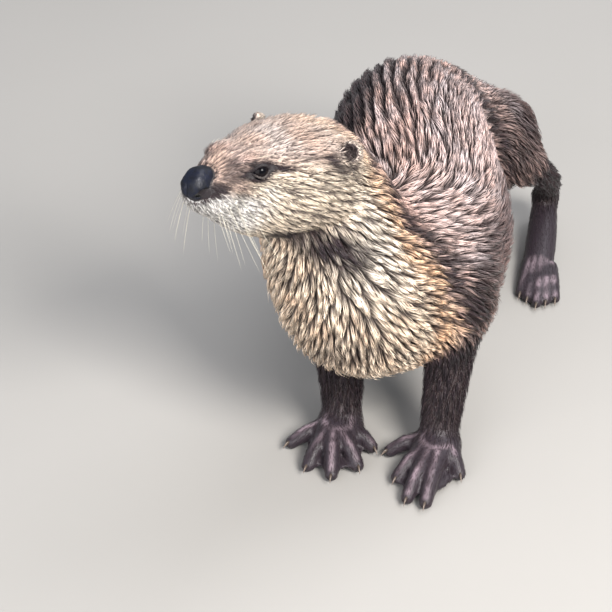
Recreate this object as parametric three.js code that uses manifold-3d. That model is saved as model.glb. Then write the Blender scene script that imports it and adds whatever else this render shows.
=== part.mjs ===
// River otter standing with its forepaws together, back arched and head turned to its right.
// Millimetres, +Z up. The otter faces -Y, its left side is +X, the floor is z = 0.
// Solids are the outline out to the tips of the coat, parted into named pieces by thin cuts.
import * as THREE from 'three';
import { mergeVertices } from 'three/addons/utils/BufferGeometryUtils.js';
import Module from 'manifold-3d';

const wasm = await Module();
wasm.setup();

// ---------- driving sizes ----------
const GAP = 0.3;                 // clear gap between neighbouring pieces
const FINEST = 0.03;             // edges shorter than this are closed up
const FAR = 60;                  // reading far outside the body
const REACH = 38;                // how far a form still blends into its neighbours

const HEAD_AT = [-61.2, 13.4, 237.6];   // middle of the head between the ears
const HEAD_TURN = 31;            // head turned to the otter's right, degrees
const HEAD_RAISE = 19.3;         // nose raised
const HEAD_LEAN = 8.6;           // left side raised

const EYE_AT = [59.7, 19.6, -2.6];      // forward, left, up from the head's middle
const EYE_R = 5.8;
const EYE_SOCKET = 0.35;         // clearance round an eyeball
const NOSE_AT = [92.3, 0, -12.4];
const NOSE_SIZE = [11.6, 9.5, 10.5];
const NOSE_SQUARE = 3.1;         // 2 would be an ellipsoid, more is squarer
const NOSE_NARROW = 0.03;        // how much the pad narrows above and below its wings
const NOSE_WINGS = -1.5;         // the wings' height over the pad's middle
const NOSE_SLOPE = 0.3;          // how much the pad's front falls back above its middle
const NOSE_BACK = 87.5;          // the pad is the part of that form ahead of here
const NOSE_ROOM = 20;            // half the depth of the box that keeps what is ahead
const EAR_AT = [0, 41.5, 10];
const EAR_SIZE = [6.2, 9, 8.5];  // through the cup, across, up
const EAR_BOWL = [7, 5.4, 5.7];
const EAR_BOWL_OUT = 3.6;        // bowl's centre moved out of the cup's mouth
const EAR_BOWL_AHEAD = 1.8;      // the hollow lies nearer the cup's front rim
const EAR_FACE = [0.62, 0.75, 0.22];    // way the cup opens, in the head's own directions

const CLAW_LENGTH = 7;
const CLAW_R = 1.5;
const CLAW_SIDES = 5;
const CLAW_AHEAD = 0.8;          // how far claws turn from their toes to straight ahead
const CLAW_START = 2.2;          // its root's way ahead of the toe's last middle
const CLAW_HIGH = 1.6;           // its root's height over that middle
const CLAW_NARROW = 0.75;        // width over height
const CLAW_RINGS = [[0, 0, 1], [0.45, 0.1, 0.85], [0.8, -0.12, 0.5]];    // share of length, rise, thickness
const CLAW_DROP = 0.4;           // how far the point comes down, in lengths
const CLAW_OVER_FLOOR = 0.6;     // lowest a claw's point comes

// thinning
const MAX_PASSES = 40;
const PASS_SHARE = 6;            // a pass folds at most one edge in this many
const PASS_LEAST = 40;           // or this many, if that is more
const SHORT_FIRST = 1e-3;        // slight preference for folding short edges
const MAX_TURN = 0.4;            // least agreement of a triangle's facing before and after a fold
const LEAST_AREA = 1e-3;         // smallest doubled area a fold may leave
const FLATTEST = 1e-4;           // below this a corner's best place isn't settled by its planes
const FARTHEST = 1.5;            // furthest that place lies from the edge's middle, in edge lengths

// mesh cell sizes, and the share of triangles kept
const CELL = {
  head: [5.5, 5.5, 5.2], neck: [9, 9, 9], trunk: [11, 12, 11], tail: [8, 8, 7],
  upper: [7, 7, 7], lower: [6, 6, 6], paw: [4, 4.2, 3.8], hindpaw: [4.2, 4.6, 4],
};
const KEEP = {
  head: 0.3, neck: 0.17, trunk: 0.21, tail: 0.21,
  upper: 0.21, lower: 0.22, paw: 0.23, hindpaw: 0.2,
};

// ---------- small vector helpers ----------
const DEG = Math.PI / 180;
const add = (a, b) => a.map((v, i) => v + b[i]);
const sub = (a, b) => a.map((v, i) => v - b[i]);
const mul = (a, k) => a.map((v) => v * k);
const dot = (a, b) => a[0] * b[0] + a[1] * b[1] + a[2] * b[2];
const cross = (a, b) => [a[1] * b[2] - a[2] * b[1], a[2] * b[0] - a[0] * b[2], a[0] * b[1] - a[1] * b[0]];
const unit = (a) => mul(a, 1 / Math.hypot(...a));
const midpoint = (a, b, lift = 0) => [(a[0] + b[0]) / 2, (a[1] + b[1]) / 2, (a[2] + b[2]) / 2 + lift];

function headDirections() {
  const [cy, sy] = [Math.cos(HEAD_TURN * DEG), Math.sin(HEAD_TURN * DEG)];
  const [cp, sp] = [Math.cos(HEAD_RAISE * DEG), Math.sin(HEAD_RAISE * DEG)];
  const [cr, sr] = [Math.cos(HEAD_LEAN * DEG), Math.sin(HEAD_LEAN * DEG)];
  const forward = [-sy, -cy, 0];
  const side = [cy, -sy, 0];
  const up = [0, 0, 1];
  const f = add(mul(forward, cp), mul(up, sp));
  const t = sub(mul(up, cp), mul(forward, sp));
  return [f, add(mul(side, cr), mul(t, sr)), sub(mul(t, cr), mul(side, sr))];
}
const HF = headDirections();
const WORLD = [[1, 0, 0], [0, 1, 0], [0, 0, 1]];
const headWay = (f, s, t) => add(add(mul(HF[0], f), mul(HF[1], s)), mul(HF[2], t));
const head = (f, s, t) => add(HEAD_AT, headWay(f, s, t));

// ---------- forms ----------
// An ellipsoid in its own directions.
function ellipsoid(c, r, blend, dirs = WORLD) {
  const ext = [0, 1, 2].map((i) => Math.hypot(r[0] * dirs[0][i], r[1] * dirs[1][i], r[2] * dirs[2][i]));
  return {
    blend, lo: sub(c, ext), hi: add(c, ext),
    dist(p) {
      const d = sub(p, c);
      const q = dirs.map((w) => dot(w, d));
      const k0 = Math.hypot(q[0] / r[0], q[1] / r[1], q[2] / r[2]);
      const k1 = Math.hypot(q[0] / (r[0] * r[0]), q[1] / (r[1] * r[1]), q[2] / (r[2] * r[2]));
      return k0 * (k0 - 1) / Math.max(k1, 1e-9);
    },
  };
}

// A smooth curve through rows of [x, y, z, radius, tallness].
function curve(rows, steps) {
  const q = [rows[0].map((v, i) => 2 * v - rows[1][i]), ...rows,
    rows[rows.length - 1].map((v, i) => 2 * v - rows[rows.length - 2][i])];
  const out = [];
  for (let n = 0; n <= (rows.length - 1) * steps; n += 1) {
    const i = Math.min(Math.floor(n / steps), rows.length - 2);
    const u = n / steps - i;
    out.push(q[i].map((_, k) => {
      const [a, b, c, d] = [q[i][k], q[i + 1][k], q[i + 2][k], q[i + 3][k]];
      const [square, cube] = [2 * a - 5 * b + 4 * c - d, 3 * b - a - 3 * c + d];
      return 0.5 * (2 * b + (c - a) * u + square * u * u + cube * u * u * u);
    }));
  }
  return out;
}

// A tapering tube along a smooth curve; tallness stretches it along `up`.
function tube(points, radii, blend, { tall = 1, up = [0, 0, 1], steps = 4 } = {}) {
  const talls = Array.isArray(tall) ? tall : radii.map(() => tall);
  const q = curve(points.map((p, i) => [...p, radii[i], talls[i]]), steps);
  const spans = [];
  for (let i = 0; i + 1 < q.length; i += 1) {
    const along = sub(q[i + 1].slice(0, 3), q[i].slice(0, 3));
    const length = Math.hypot(...along);
    const w = mul(along, 1 / length);
    const u = unit(sub(up, mul(w, dot(up, w))));
    spans.push({ a: q[i], b: q[i + 1], w, u, v: cross(w, u), length });
  }
  const reach = q.map((s) => s[3] * Math.max(1, s[4]));
  return {
    blend,
    lo: [0, 1, 2].map((k) => Math.min(...q.map((s, i) => s[k] - reach[i]))),
    hi: [0, 1, 2].map((k) => Math.max(...q.map((s, i) => s[k] + reach[i]))),
    dist(p) {
      let best = 1e9;
      for (const s of spans) {
        const d = [p[0] - s.a[0], p[1] - s.a[1], p[2] - s.a[2]];
        const x = dot(d, s.w);
        const t = Math.min(1, Math.max(0, x / s.length));
        const stretch = s.a[4] + (s.b[4] - s.a[4]) * t;
        const r = s.a[3] + (s.b[3] - s.a[3]) * t;
        const e = Math.hypot(x - t * s.length, dot(d, s.v), dot(d, s.u) / stretch) - r;
        best = Math.min(best, e * Math.min(1, stretch));
      }
      return best;
    },
  };
}

const HEAD_UP = { up: HF[2] };
const body = [];
// trunk from the chest over the arched back to the pelvis
const SPINE = [[-21, 24, 121], [-8, 62, 115], [2, 112, 120], [-19, 165, 141], [-28, 212, 135],
  [-18, 256, 114], [-8, 300, 95]];
const SPINE_R = [50, 58, 63, 61, 56, 49, 36];
body.push(tube(SPINE, SPINE_R, 20, { tall: [1, 1.06, 1.12, 1.15, 1.13, 1.05, 1], steps: 8 }));
// neck
const NECK = [[-23, 42, 122], [-35, 26, 150], [-46, 24, 186], head(-12, 0, -20)];
body.push(tube(NECK, [54, 53, 48, 41], 25, { steps: 8 }));
// shoulders
body.push(ellipsoid([42, 60, 116], [22, 34, 32], 20));
body.push(ellipsoid([-54, 54, 106], [21, 34, 34], 20));
// haunches
for (const s of [1, -1]) body.push(ellipsoid([s * 29 - 6, 280, 94], [25, 38, 38], 20));
// skull, cheeks, muzzle, jaw, lips and brows
body.push(ellipsoid(head(8, 0, -7), [44, 43, 30], 14, HF));
for (const s of [1, -1]) body.push(ellipsoid(head(20, s * 25, -16), [36, 20, 24], 14, HF));
const MUZZLE = [head(30, 0, -4), head(62, 0, -7), head(84, 0, -15)];
body.push(tube(MUZZLE, [29, 22, 14.5], 10, { tall: [0.8, 0.78, 0.85], ...HEAD_UP }));
const JAW = [head(28, 0, -30), head(52, 0, -28), head(70, 0, -26), head(84, 0, -25)];
body.push(tube(JAW, [29, 23, 16, 10], 12, { tall: [0.85, 0.85, 0.85, 0.8], ...HEAD_UP }));
for (const s of [1, -1]) {
  body.push(ellipsoid(head(81, s * 9, -23), [12, 12, 9.5], 6, HF));
  body.push(ellipsoid(head(61, s * 17, 2), [11, 7, 6], 6, HF));
}
// forelegs, left then right
body.push(tube([[36, 62, 100], [35, 56, 70], [34, 36, 34], [34, 26, 16]], [23, 19, 16, 13], 14));
body.push(tube([[-50, 54, 98], [-44, 50, 68], [-38, 38, 32], [-36, 28, 15]], [26, 20, 16, 13], 14));
// hind legs: thigh, shank down to the hock
const HIND_SHIFT = { 1: 0, [-1]: -6 };    // the right hind leg stands a little further out
for (const s of [1, -1]) {
  const c = HIND_SHIFT[s];
  body.push(tube([[s * 26 + c, 288, 106], [s * 46 + c, 272, 90]], [28, 17], 14));
  body.push(tube([[s * 47 + c, 274, 88], [s * 61 + c, 300, 60], [s * 56 + c, 327, 30]], [15, 11, 9.5], 10));
}
// forepaws: pad, web and five toes each
const FOREPAWS = {
  left: {
    tips: [[2.5, 13.5, 4.6], [14, -14, 4.6], [25, -34, 4.6], [38, -36, 4.6], [54, 0, 4.6]],
    roots: [[22, 22, 10], [25, 6, 12], [31, 2, 13], [38, 2, 13], [44, 14, 11]],
    pad: [[34, 16, 10], [18, 22, 13]], web: [[31, -5, 5], [21, 24, 3]],
  },
  right: {
    tips: [[-66, 6, 4.6], [-49, -16, 4.6], [-31, -22, 4.6], [-16, -8, 4.6], [-11, 14.5, 4.6]],
    roots: [[-47, 20, 10], [-43, 10, 12], [-37, 6, 13], [-31, 8, 13], [-25, 20, 10]],
    pad: [[-36, 20, 10], [18, 22, 13]], web: [[-35, 2, 5], [22, 20, 3]],
  },
};
const FORE_TOE = [7, 6, 5];      // radii from root to tip
const KNUCKLE = 3;               // how far a toe arches up between root and tip
const toes = [];                 // [name, root, tip]
for (const [name, paw] of Object.entries(FOREPAWS)) {
  body.push(ellipsoid(paw.pad[0], paw.pad[1], 8));
  paw.tips.forEach((tip, i) => {
    body.push(tube([paw.roots[i], midpoint(tip, paw.roots[i], KNUCKLE), tip], FORE_TOE, 3, { steps: 2 }));
    toes.push([`fore_claw_${name}_${i + 1}`, paw.roots[i], tip]);
  });
  body.push(ellipsoid(paw.web[0], paw.web[1], 4));
}
// hind feet: flat sole, five toes and web
const HIND_SPREAD = [-8, -4, 1, 5, 9];
const HIND_TOE = [5.6, 5, 4.2];
const HIND_KNUCKLE = 1.6;
for (const s of [1, -1]) {
  const c = HIND_SHIFT[s];
  const sole = [[s * 56 + c, 325, 28], [s * 60 + c, 290, 14.5], [s * 63 + c, 256, 6.2]];
  body.push(tube(sole, [10, 12, 12.5], 8, { tall: [1, 0.85, 0.62] }));
  HIND_SPREAD.forEach((o, i) => {
    const root = [s * (64 + o) + c, 262 - Math.abs(o) * 0.3, 7];
    const tip = [s * (68 + o * 1.55) + c, 216 + Math.abs(o - 1) * 1.2, 3.5];
    body.push(tube([root, midpoint(tip, root, HIND_KNUCKLE), tip], HIND_TOE, 3, { steps: 2 }));
    toes.push([`hind_claw_${s > 0 ? 'left' : 'right'}_${i + 1}`, root, tip]);
  });
  body.push(ellipsoid([s * 67 + c, 242, 3], [15, 24, 4], 4));
}
// tail: down to the floor and round the right side
const TAIL = [[-8, 280, 102], [-9, 320, 84], [-13, 354, 59], [-24, 386, 36], [-52, 408, 24.2],
  [-86, 403, 19.6], [-114, 372, 16.8], [-127, 328, 13.8], [-124, 284, 10.6], [-110, 248, 7]];
const TAIL_R = [38, 34, 29, 26, 24, 21, 18, 15, 11.5, 7];
body.push(tube(TAIL, TAIL_R, 18, { steps: 6 }));

// ---------- reading the body ----------
function blendMin(a, b, k) {
  const h = Math.min(1, Math.max(0, 0.5 + 0.5 * (b - a) / k));
  return b + (a - b) * h - k * h * (1 - h);
}
function near(form, p) {
  return [0, 1, 2].every((i) => p[i] > form.lo[i] - REACH && p[i] < form.hi[i] + REACH);
}
const reader = (forms) => (p) => {
  let f = FAR;
  for (const form of forms) if (near(form, p)) f = blendMin(f, form.dist(p), form.blend);
  return f;
};

function downhill(read, p) {
  const e = 0.2;
  const g = [0, 1, 2].map((k) => {
    const a = [...p];
    const b = [...p];
    a[k] += e;
    b[k] -= e;
    return (read(a) - read(b)) / (2 * e);
  });
  const n = Math.max(dot(g, g), 0.05);
  return sub(p, mul(g, read(p) / n));
}

// Closed mesh of {read < 0} inside a box, one quad for each cell edge that crosses the surface.
function surface(read, lo, hi, cell) {
  const n = [0, 1, 2].map((k) => Math.ceil((hi[k] - lo[k]) / cell[k]) + 1);
  const at = (i, j, k) => (i * n[1] + j) * n[2] + k;
  const value = new Float64Array(n[0] * n[1] * n[2]);
  const point = (i, j, k) => [lo[0] + i * cell[0], lo[1] + j * cell[1], lo[2] + k * cell[2]];
  for (let i = 0; i < n[0]; i += 1) for (let j = 0; j < n[1]; j += 1) for (let k = 0; k < n[2]; k += 1) {
    const rim = i === 0 || j === 0 || k === 0 || i === n[0] - 1 || j === n[1] - 1 || k === n[2] - 1;
    value[at(i, j, k)] = rim ? Math.max(1, cell[0] / 2) : read(point(i, j, k));
  }
  const index = new Map();
  const positions = [];
  const corner = [[0, 0, 0], [1, 0, 0], [0, 1, 0], [1, 1, 0], [0, 0, 1], [1, 0, 1], [0, 1, 1], [1, 1, 1]];
  const edges = [];
  corner.forEach((a, x) => corner.forEach((b, y) => {
    const apart = a.reduce((sum, v, k) => sum + Math.abs(v - b[k]), 0);
    if (x < y && apart === 1) edges.push([x, y]);
  }));
  const [ni, nj, nk] = n;
  for (let i = 0; i + 1 < ni; i += 1) for (let j = 0; j + 1 < nj; j += 1) for (let k = 0; k + 1 < nk; k += 1) {
    const v = corner.map((c) => value[at(i + c[0], j + c[1], k + c[2])]);
    let total = [0, 0, 0];
    let count = 0;
    for (const [x, y] of edges) {
      if ((v[x] < 0) === (v[y] < 0)) continue;
      const t = v[x] / (v[x] - v[y]);
      total = add(total, add(corner[x], mul(sub(corner[y], corner[x]), t)));
      count += 1;
    }
    if (!count) continue;
    const mean = mul(total, 1 / count);
    const start = point(i, j, k);
    let p = start.map((s, a) => s + mean[a] * cell[a]);
    const rimCell = i < 1 || j < 1 || k < 1 || i > n[0] - 3 || j > n[1] - 3 || k > n[2] - 3;
    if (!rimCell) {
      let q = downhill(read, downhill(read, p));
      q = q.map((c, a) => Math.min(start[a] + cell[a] * 0.98, Math.max(start[a] + cell[a] * 0.02, c)));
      p = q;
    }
    index.set(at(i, j, k), positions.length / 3);
    positions.push(...p);
  }
  const faces = [];
  for (let axis = 0; axis < 3; axis += 1) {
    const [u, w] = [(axis + 1) % 3, (axis + 2) % 3];
    const step = [0, 0, 0];
    step[axis] = 1;
    for (let i = 0; i < n[0]; i += 1) for (let j = 0; j < n[1]; j += 1) for (let k = 0; k < n[2]; k += 1) {
      const c = [i, j, k];
      if (c[axis] + 1 >= n[axis] || c[u] < 1 || c[w] < 1 || c[u] > n[u] - 2 || c[w] > n[w] - 2) continue;
      const a = value[at(i, j, k)] < 0;
      const b = value[at(i + step[0], j + step[1], k + step[2])] < 0;
      if (a === b) continue;
      const ring = [[0, 0], [1, 0], [1, 1], [0, 1]].map(([du, dw]) => {
        const d = [...c];
        d[u] -= du;
        d[w] -= dw;
        return index.get(at(...d));
      });
      if (!a) ring.reverse();
      const vertex = (m) => positions.slice(m * 3, m * 3 + 3);
      const across = (x, y) => Math.hypot(...sub(vertex(x), vertex(y)));
      const first = across(ring[0], ring[2]) < across(ring[1], ring[3]) ? 0 : 1;
      const [w0, w1, w2, w3] = [0, 1, 2, 3].map((m) => ring[(m + first) % 4]);
      faces.push(w0, w1, w2, w0, w2, w3);
    }
  }
  const geometry = new THREE.BufferGeometry();
  geometry.setAttribute('position', new THREE.Float32BufferAttribute(positions, 3));
  geometry.setIndex(faces);
  return geometry;
}

// ---------- thinning a closed mesh where it is nearly flat ----------
function planeOf(a, b, c) {
  const n = cross(sub(b, a), sub(c, a));
  const area = Math.hypot(...n);
  return area > 0 ? [...mul(n, 1 / area), -dot(n, a) / area, area] : [0, 0, 0, 0, 0];
}
// Fold short, flat edges away until about `target` triangles are left.
function thin(geometry, target) {
  const at = geometry.attributes.position;
  const place = Array.from({ length: at.count }, (_, i) => [at.getX(i), at.getY(i), at.getZ(i)]);
  const faces = [];
  for (let i = 0; i < geometry.index.count; i += 3) {
    faces.push([0, 1, 2].map((k) => geometry.index.getX(i + k)));
  }
  const touching = place.map(() => new Set());
  const form = place.map(() => new Array(10).fill(0));
  faces.forEach((f, n) => {
    const [a, b, c, d, area] = planeOf(...f.map((v) => place[v]));
    const q = [a * a, a * b, a * c, a * d, b * b, b * c, b * d, c * c, c * d, d * d];
    for (const v of f) {
      touching[v].add(n);
      for (let k = 0; k < 10; k += 1) form[v][k] += q[k] * area;
    }
  });
  const cost = (q, [x, y, z]) => q[0] * x * x + q[4] * y * y + q[7] * z * z + q[9]
    + 2 * (q[1] * x * y + q[2] * x * z + q[5] * y * z + q[3] * x + q[6] * y + q[8] * z);
  const best = (q, a, b) => {
    const rows = [[q[0], q[1], q[2]], [q[1], q[4], q[5]], [q[2], q[5], q[7]]];
    const c0 = cross(rows[1], rows[2]);
    const det = dot(rows[0], c0);
    const mid = midpoint(a, b);
    if (Math.abs(det) < FLATTEST * (q[0] + q[4] + q[7]) ** 3) return mid;
    const right = [-q[3], -q[6], -q[8]];
    const [c1, c2] = [cross(rows[2], rows[0]), cross(rows[0], rows[1])];
    const p = [0, 1, 2].map((k) => (right[0] * c0[k] + right[1] * c1[k] + right[2] * c2[k]) / det);
    return Math.hypot(...sub(p, mid)) < FARTHEST * Math.hypot(...sub(a, b)) ? p : mid;
  };
  const ring = (v) => {
    const out = new Set();
    for (const n of touching[v]) for (const w of faces[n]) if (w !== v) out.add(w);
    return out;
  };
  let left = faces.length;
  for (let pass = 0; pass < MAX_PASSES && left > target; pass += 1) {
    const edges = [];
    faces.forEach((f) => {
      if (!f) return;
      for (let k = 0; k < 3; k += 1) {
        const [a, b] = [f[k], f[(k + 1) % 3]];
        if (a > b) continue;
        const q = form[a].map((v, i) => v + form[b][i]);
        const p = best(q, place[a], place[b]);
        edges.push([cost(q, p) + SHORT_FIRST * Math.hypot(...sub(place[a], place[b])), a, b, p, q]);
      }
    });
    edges.sort((x, y) => x[0] - y[0]);
    const used = new Set();
    const limit = Math.max(PASS_LEAST, Math.floor(edges.length / PASS_SHARE));
    for (const [, a, b, p, q] of edges.slice(0, limit)) {
      if (left <= target) break;
      if (used.has(a) || used.has(b)) continue;
      const [ra, rb] = [ring(a), ring(b)];
      const shared = [...ra].filter((v) => rb.has(v));
      if (shared.length !== 2 || shared.some((v) => touching[v].size < 4)) continue;
      const closes = (n) => faces[n].includes(a) && faces[n].includes(b);
      const moved = [...touching[a], ...touching[b]].filter((n) => !closes(n));
      const turns = moved.some((n) => {
        const before = planeOf(...faces[n].map((v) => place[v]));
        const after = planeOf(...faces[n].map((v) => (v === a || v === b ? p : place[v])));
        return after[4] < LEAST_AREA || dot(before, after) < MAX_TURN;
      });
      if (turns) continue;
      for (const n of [...touching[b]]) {
        if (faces[n].includes(a)) {
          for (const v of faces[n]) touching[v].delete(n);
          faces[n] = null;
          left -= 1;
        } else {
          faces[n] = faces[n].map((v) => (v === b ? a : v));
          touching[a].add(n);
        }
      }
      touching[b].clear();
      place[a] = p;
      form[a] = q;
      for (const v of [a, b, ...ra, ...rb]) used.add(v);
    }
  }
  const slim = new THREE.BufferGeometry();
  const number = new Map();
  const positions = [];
  const indices = [];
  for (const f of faces) {
    if (!f) continue;
    for (const v of f) {
      if (!number.has(v)) {
        number.set(v, positions.length / 3);
        positions.push(...place[v]);
      }
      indices.push(number.get(v));
    }
  }
  slim.setAttribute('position', new THREE.Float32BufferAttribute(positions, 3));
  slim.setIndex(indices);
  return slim;
}

// ---------- joining and cutting ----------
function solid(geometry) {
  const g = geometry.clone();
  g.deleteAttribute('normal');
  g.deleteAttribute('uv');
  const m = mergeVertices(g, 1e-4);
  return new wasm.Manifold(new wasm.Mesh({
    numProp: 3,
    vertProperties: new Float32Array(m.attributes.position.array),
    triVerts: new Uint32Array(m.index.array),
  }));
}
function biggest(shape) {
  const main = shape.decompose().reduce((a, b) => (a.volume() >= b.volume() ? a : b));
  return main.asOriginal().setTolerance(FINEST);
}
// A box round `centre` with its third direction along `way`; `half` are its half sizes.
function slab(centre, way, half, grow = 0) {
  const w = unit(way);
  const v = unit(cross(w, Math.abs(w[0]) > 0.9 ? [0, 1, 0] : [1, 0, 0]));
  const u = cross(v, w);
  const geometry = new THREE.BoxGeometry(...half.map((h) => 2 * (h + grow)));
  const turn = new THREE.Matrix4().makeBasis(...[u, v, w].map((d) => new THREE.Vector3(...d)));
  geometry.applyMatrix4(turn.setPosition(...centre));
  return solid(geometry);
}
// An ellipsoid, or a squarer block whose width shrinks by `narrow` for each mm above and below its wings
// and whose front falls back by `slope` for each mm above its middle.
function ball(centre, radii, dirs = WORLD, across = 12, rings = 8, square = 2, narrow = 0, slope = 0) {
  const geometry = new THREE.SphereGeometry(1, across, rings);
  const at = geometry.attributes.position;
  for (let i = 0; i < at.count; i += 1) {
    const p = [at.getX(i), at.getY(i), at.getZ(i)];
    const reach = p.reduce((sum, v) => sum + Math.abs(v) ** square, 0) ** (1 / square);
    const [x, y, z] = mul(p, 1 / reach);
    const back = Math.max(z, 0) * slope * radii[2] / radii[0];
    at.setXYZ(i, x - back, y / (1 + narrow * Math.abs(z * radii[2] - NOSE_WINGS)), z);
  }
  const m = new THREE.Matrix4().makeBasis(...dirs.map((d, i) => new THREE.Vector3(...mul(d, radii[i]))));
  geometry.applyMatrix4(m.setPosition(...centre));
  return solid(geometry);
}
const FLOOR_BOX = slab([0, 160, -50], [0, 0, 1], [600, 600, 50]);
const readBody = reader(body);
function flesh(lo, hi, cell, keep) {
  const fine = surface(readBody, lo, hi, cell);
  return solid(thin(fine, keep * fine.index.count / 3)).subtract(FLOOR_BOX);
}

// ---------- cuts: each takes its piece out of what the ones before it left ----------
const CUTS = [
  { name: 'paw_front_left', cell: 'paw', box: [[-10, -52, -8], [70, 54, 40]],
    centre: [36, 0, -6], way: [0, -0.3, 1], half: [40.3, 62, 33] },
  { name: 'paw_front_right', cell: 'paw', box: [[-86, -46, -9], [4, 56, 40]],
    centre: [-45, 0, -6], way: [0, -0.3, 1], half: [40, 62, 33] },
  { name: 'foreleg_left', cell: 'lower', box: [[6, 4, 8], [66, 92, 84]],
    centre: [37, 46, 44], way: [0.1, 0.25, 1], half: [30, 40, 23] },
  { name: 'foreleg_right', cell: 'lower', box: [[-82, 4, 8], [-10, 92, 84]],
    centre: [-43, 46, 42], way: [-0.1, 0.25, 1], half: [33, 40, 23] },
  { name: 'paw_hind_left', cell: 'hindpaw', box: [[36, 196, -8], [98, 346, 44]],
    centre: [66, 262, -13], way: [0, -0.12, 1], half: [34, 74, 40] },
  { name: 'paw_hind_right', cell: 'hindpaw', box: [[-104, 196, -8], [-42, 346, 44]],
    centre: [-72, 262, -13], way: [0, -0.12, 1], half: [34, 74, 40] },
  { name: 'hind_leg_left', cell: 'lower', box: [[24, 244, 10], [86, 352, 98]],
    centre: [62, 304, 52], way: [0.55, 0.45, -0.9], half: [36, 40, 34] },
  { name: 'hind_leg_right', cell: 'lower', box: [[-94, 240, 8], [-24, 356, 104]],
    centre: [-68, 304, 52], way: [-0.55, 0.45, -0.9], half: [30, 40, 34] },
  { name: 'tail_tip', cell: 'tail', box: [[-150, 228, -9], [-86, 396, 44]],
    centre: [-118, 300, 10], way: [0.1, -1, 0], half: [50, 46, 72] },
  { name: 'tail_middle', cell: 'tail', box: [[-146, 348, -9], [-6, 446, 78]],
    centre: [-104, 396, 14], way: [-1, 0.1, -0.35], half: [60, 60, 68] },
  { name: 'tail_base', cell: 'tail', box: [[-64, 296, 4], [46, 432, 136]],
    centre: [-16, 378, 54], way: [0, 1, -0.75], half: [62, 62, 52] },
  { name: 'head', cell: 'head', box: [[-150, -98, 160], [24, 84, 296]],
    centre: head(72, 0, 27), way: headWay(0.806, 0, 0.591), half: [84, 84, 80] },
  { name: 'neck', cell: 'neck', box: [[-112, -44, 84], [50, 104, 276]],
    centre: add([-29, 34, 142], mul(unit([-0.25, -0.6, 0.76]), 60)),
    way: [-0.25, -0.6, 0.76], half: [92, 84, 60] },
  { name: 'haunch_left', cell: 'upper', box: [[2, 226, 40], [66, 344, 150]],
    centre: [48, 284, 92], way: [1, 0, 0.1], half: [60, 60, 30] },
  { name: 'haunch_right', cell: 'upper', box: [[-80, 226, 40], [-14, 344, 150]],
    centre: [-60, 284, 92], way: [-1, 0, 0.1], half: [60, 60, 30] },
  { name: 'rump', cell: 'trunk', box: [[-100, 190, 20], [70, 372, 214]],
    centre: [-10, 310, 100], way: [0, 1, -0.2], half: [110, 110, 78] },
  { name: 'loin', cell: 'trunk', box: [[-108, 100, 30], [90, 260, 226]],
    centre: [-10, 180, 120], way: [0, 1, 0], half: [120, 120, 66] },
];
const CHEST = { name: 'chest', cell: 'trunk', box: [[-112, -50, 24], [96, 136, 204]] };

const bits = [];                 // [name, manifold, kind]
const eyes = [1, -1].map((s) => head(EYE_AT[0], s * EYE_AT[1], EYE_AT[2]));
const earWay = (s) => unit(headWay(EAR_FACE[0], s * EAR_FACE[1], EAR_FACE[2]));
function earDirections(s) {
  const out = earWay(s);
  const across = unit(cross(HF[2], out));
  return [out, across, cross(out, across)];
}
function nosePad(grow) {
  const radii = NOSE_SIZE.map((r) => r + grow);
  const whole = ball(head(...NOSE_AT), radii, HF, 16, 10, NOSE_SQUARE, NOSE_NARROW, NOSE_SLOPE);
  const middle = head(NOSE_BACK - grow + NOSE_ROOM, 0, NOSE_AT[2]);
  return whole.intersect(slab(middle, HF[0], [NOSE_ROOM, NOSE_ROOM, NOSE_ROOM]));
}
function ear(s) {
  const dirs = earDirections(s);
  const cup = ball(head(EAR_AT[0], s * EAR_AT[1], EAR_AT[2]), EAR_SIZE, dirs, 12, 8);
  const hollow = head(EAR_AT[0] + EAR_BOWL_AHEAD, s * EAR_AT[1], EAR_AT[2]);
  return cup.subtract(ball(add(hollow, mul(dirs[0], EAR_BOWL_OUT)), EAR_BOWL, dirs, 10, 7));
}
function earRoom(s) {
  const room = EAR_SIZE.map((r) => r + GAP);
  return ball(head(EAR_AT[0], s * EAR_AT[1], EAR_AT[2]), room, earDirections(s), 12, 8);
}

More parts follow.
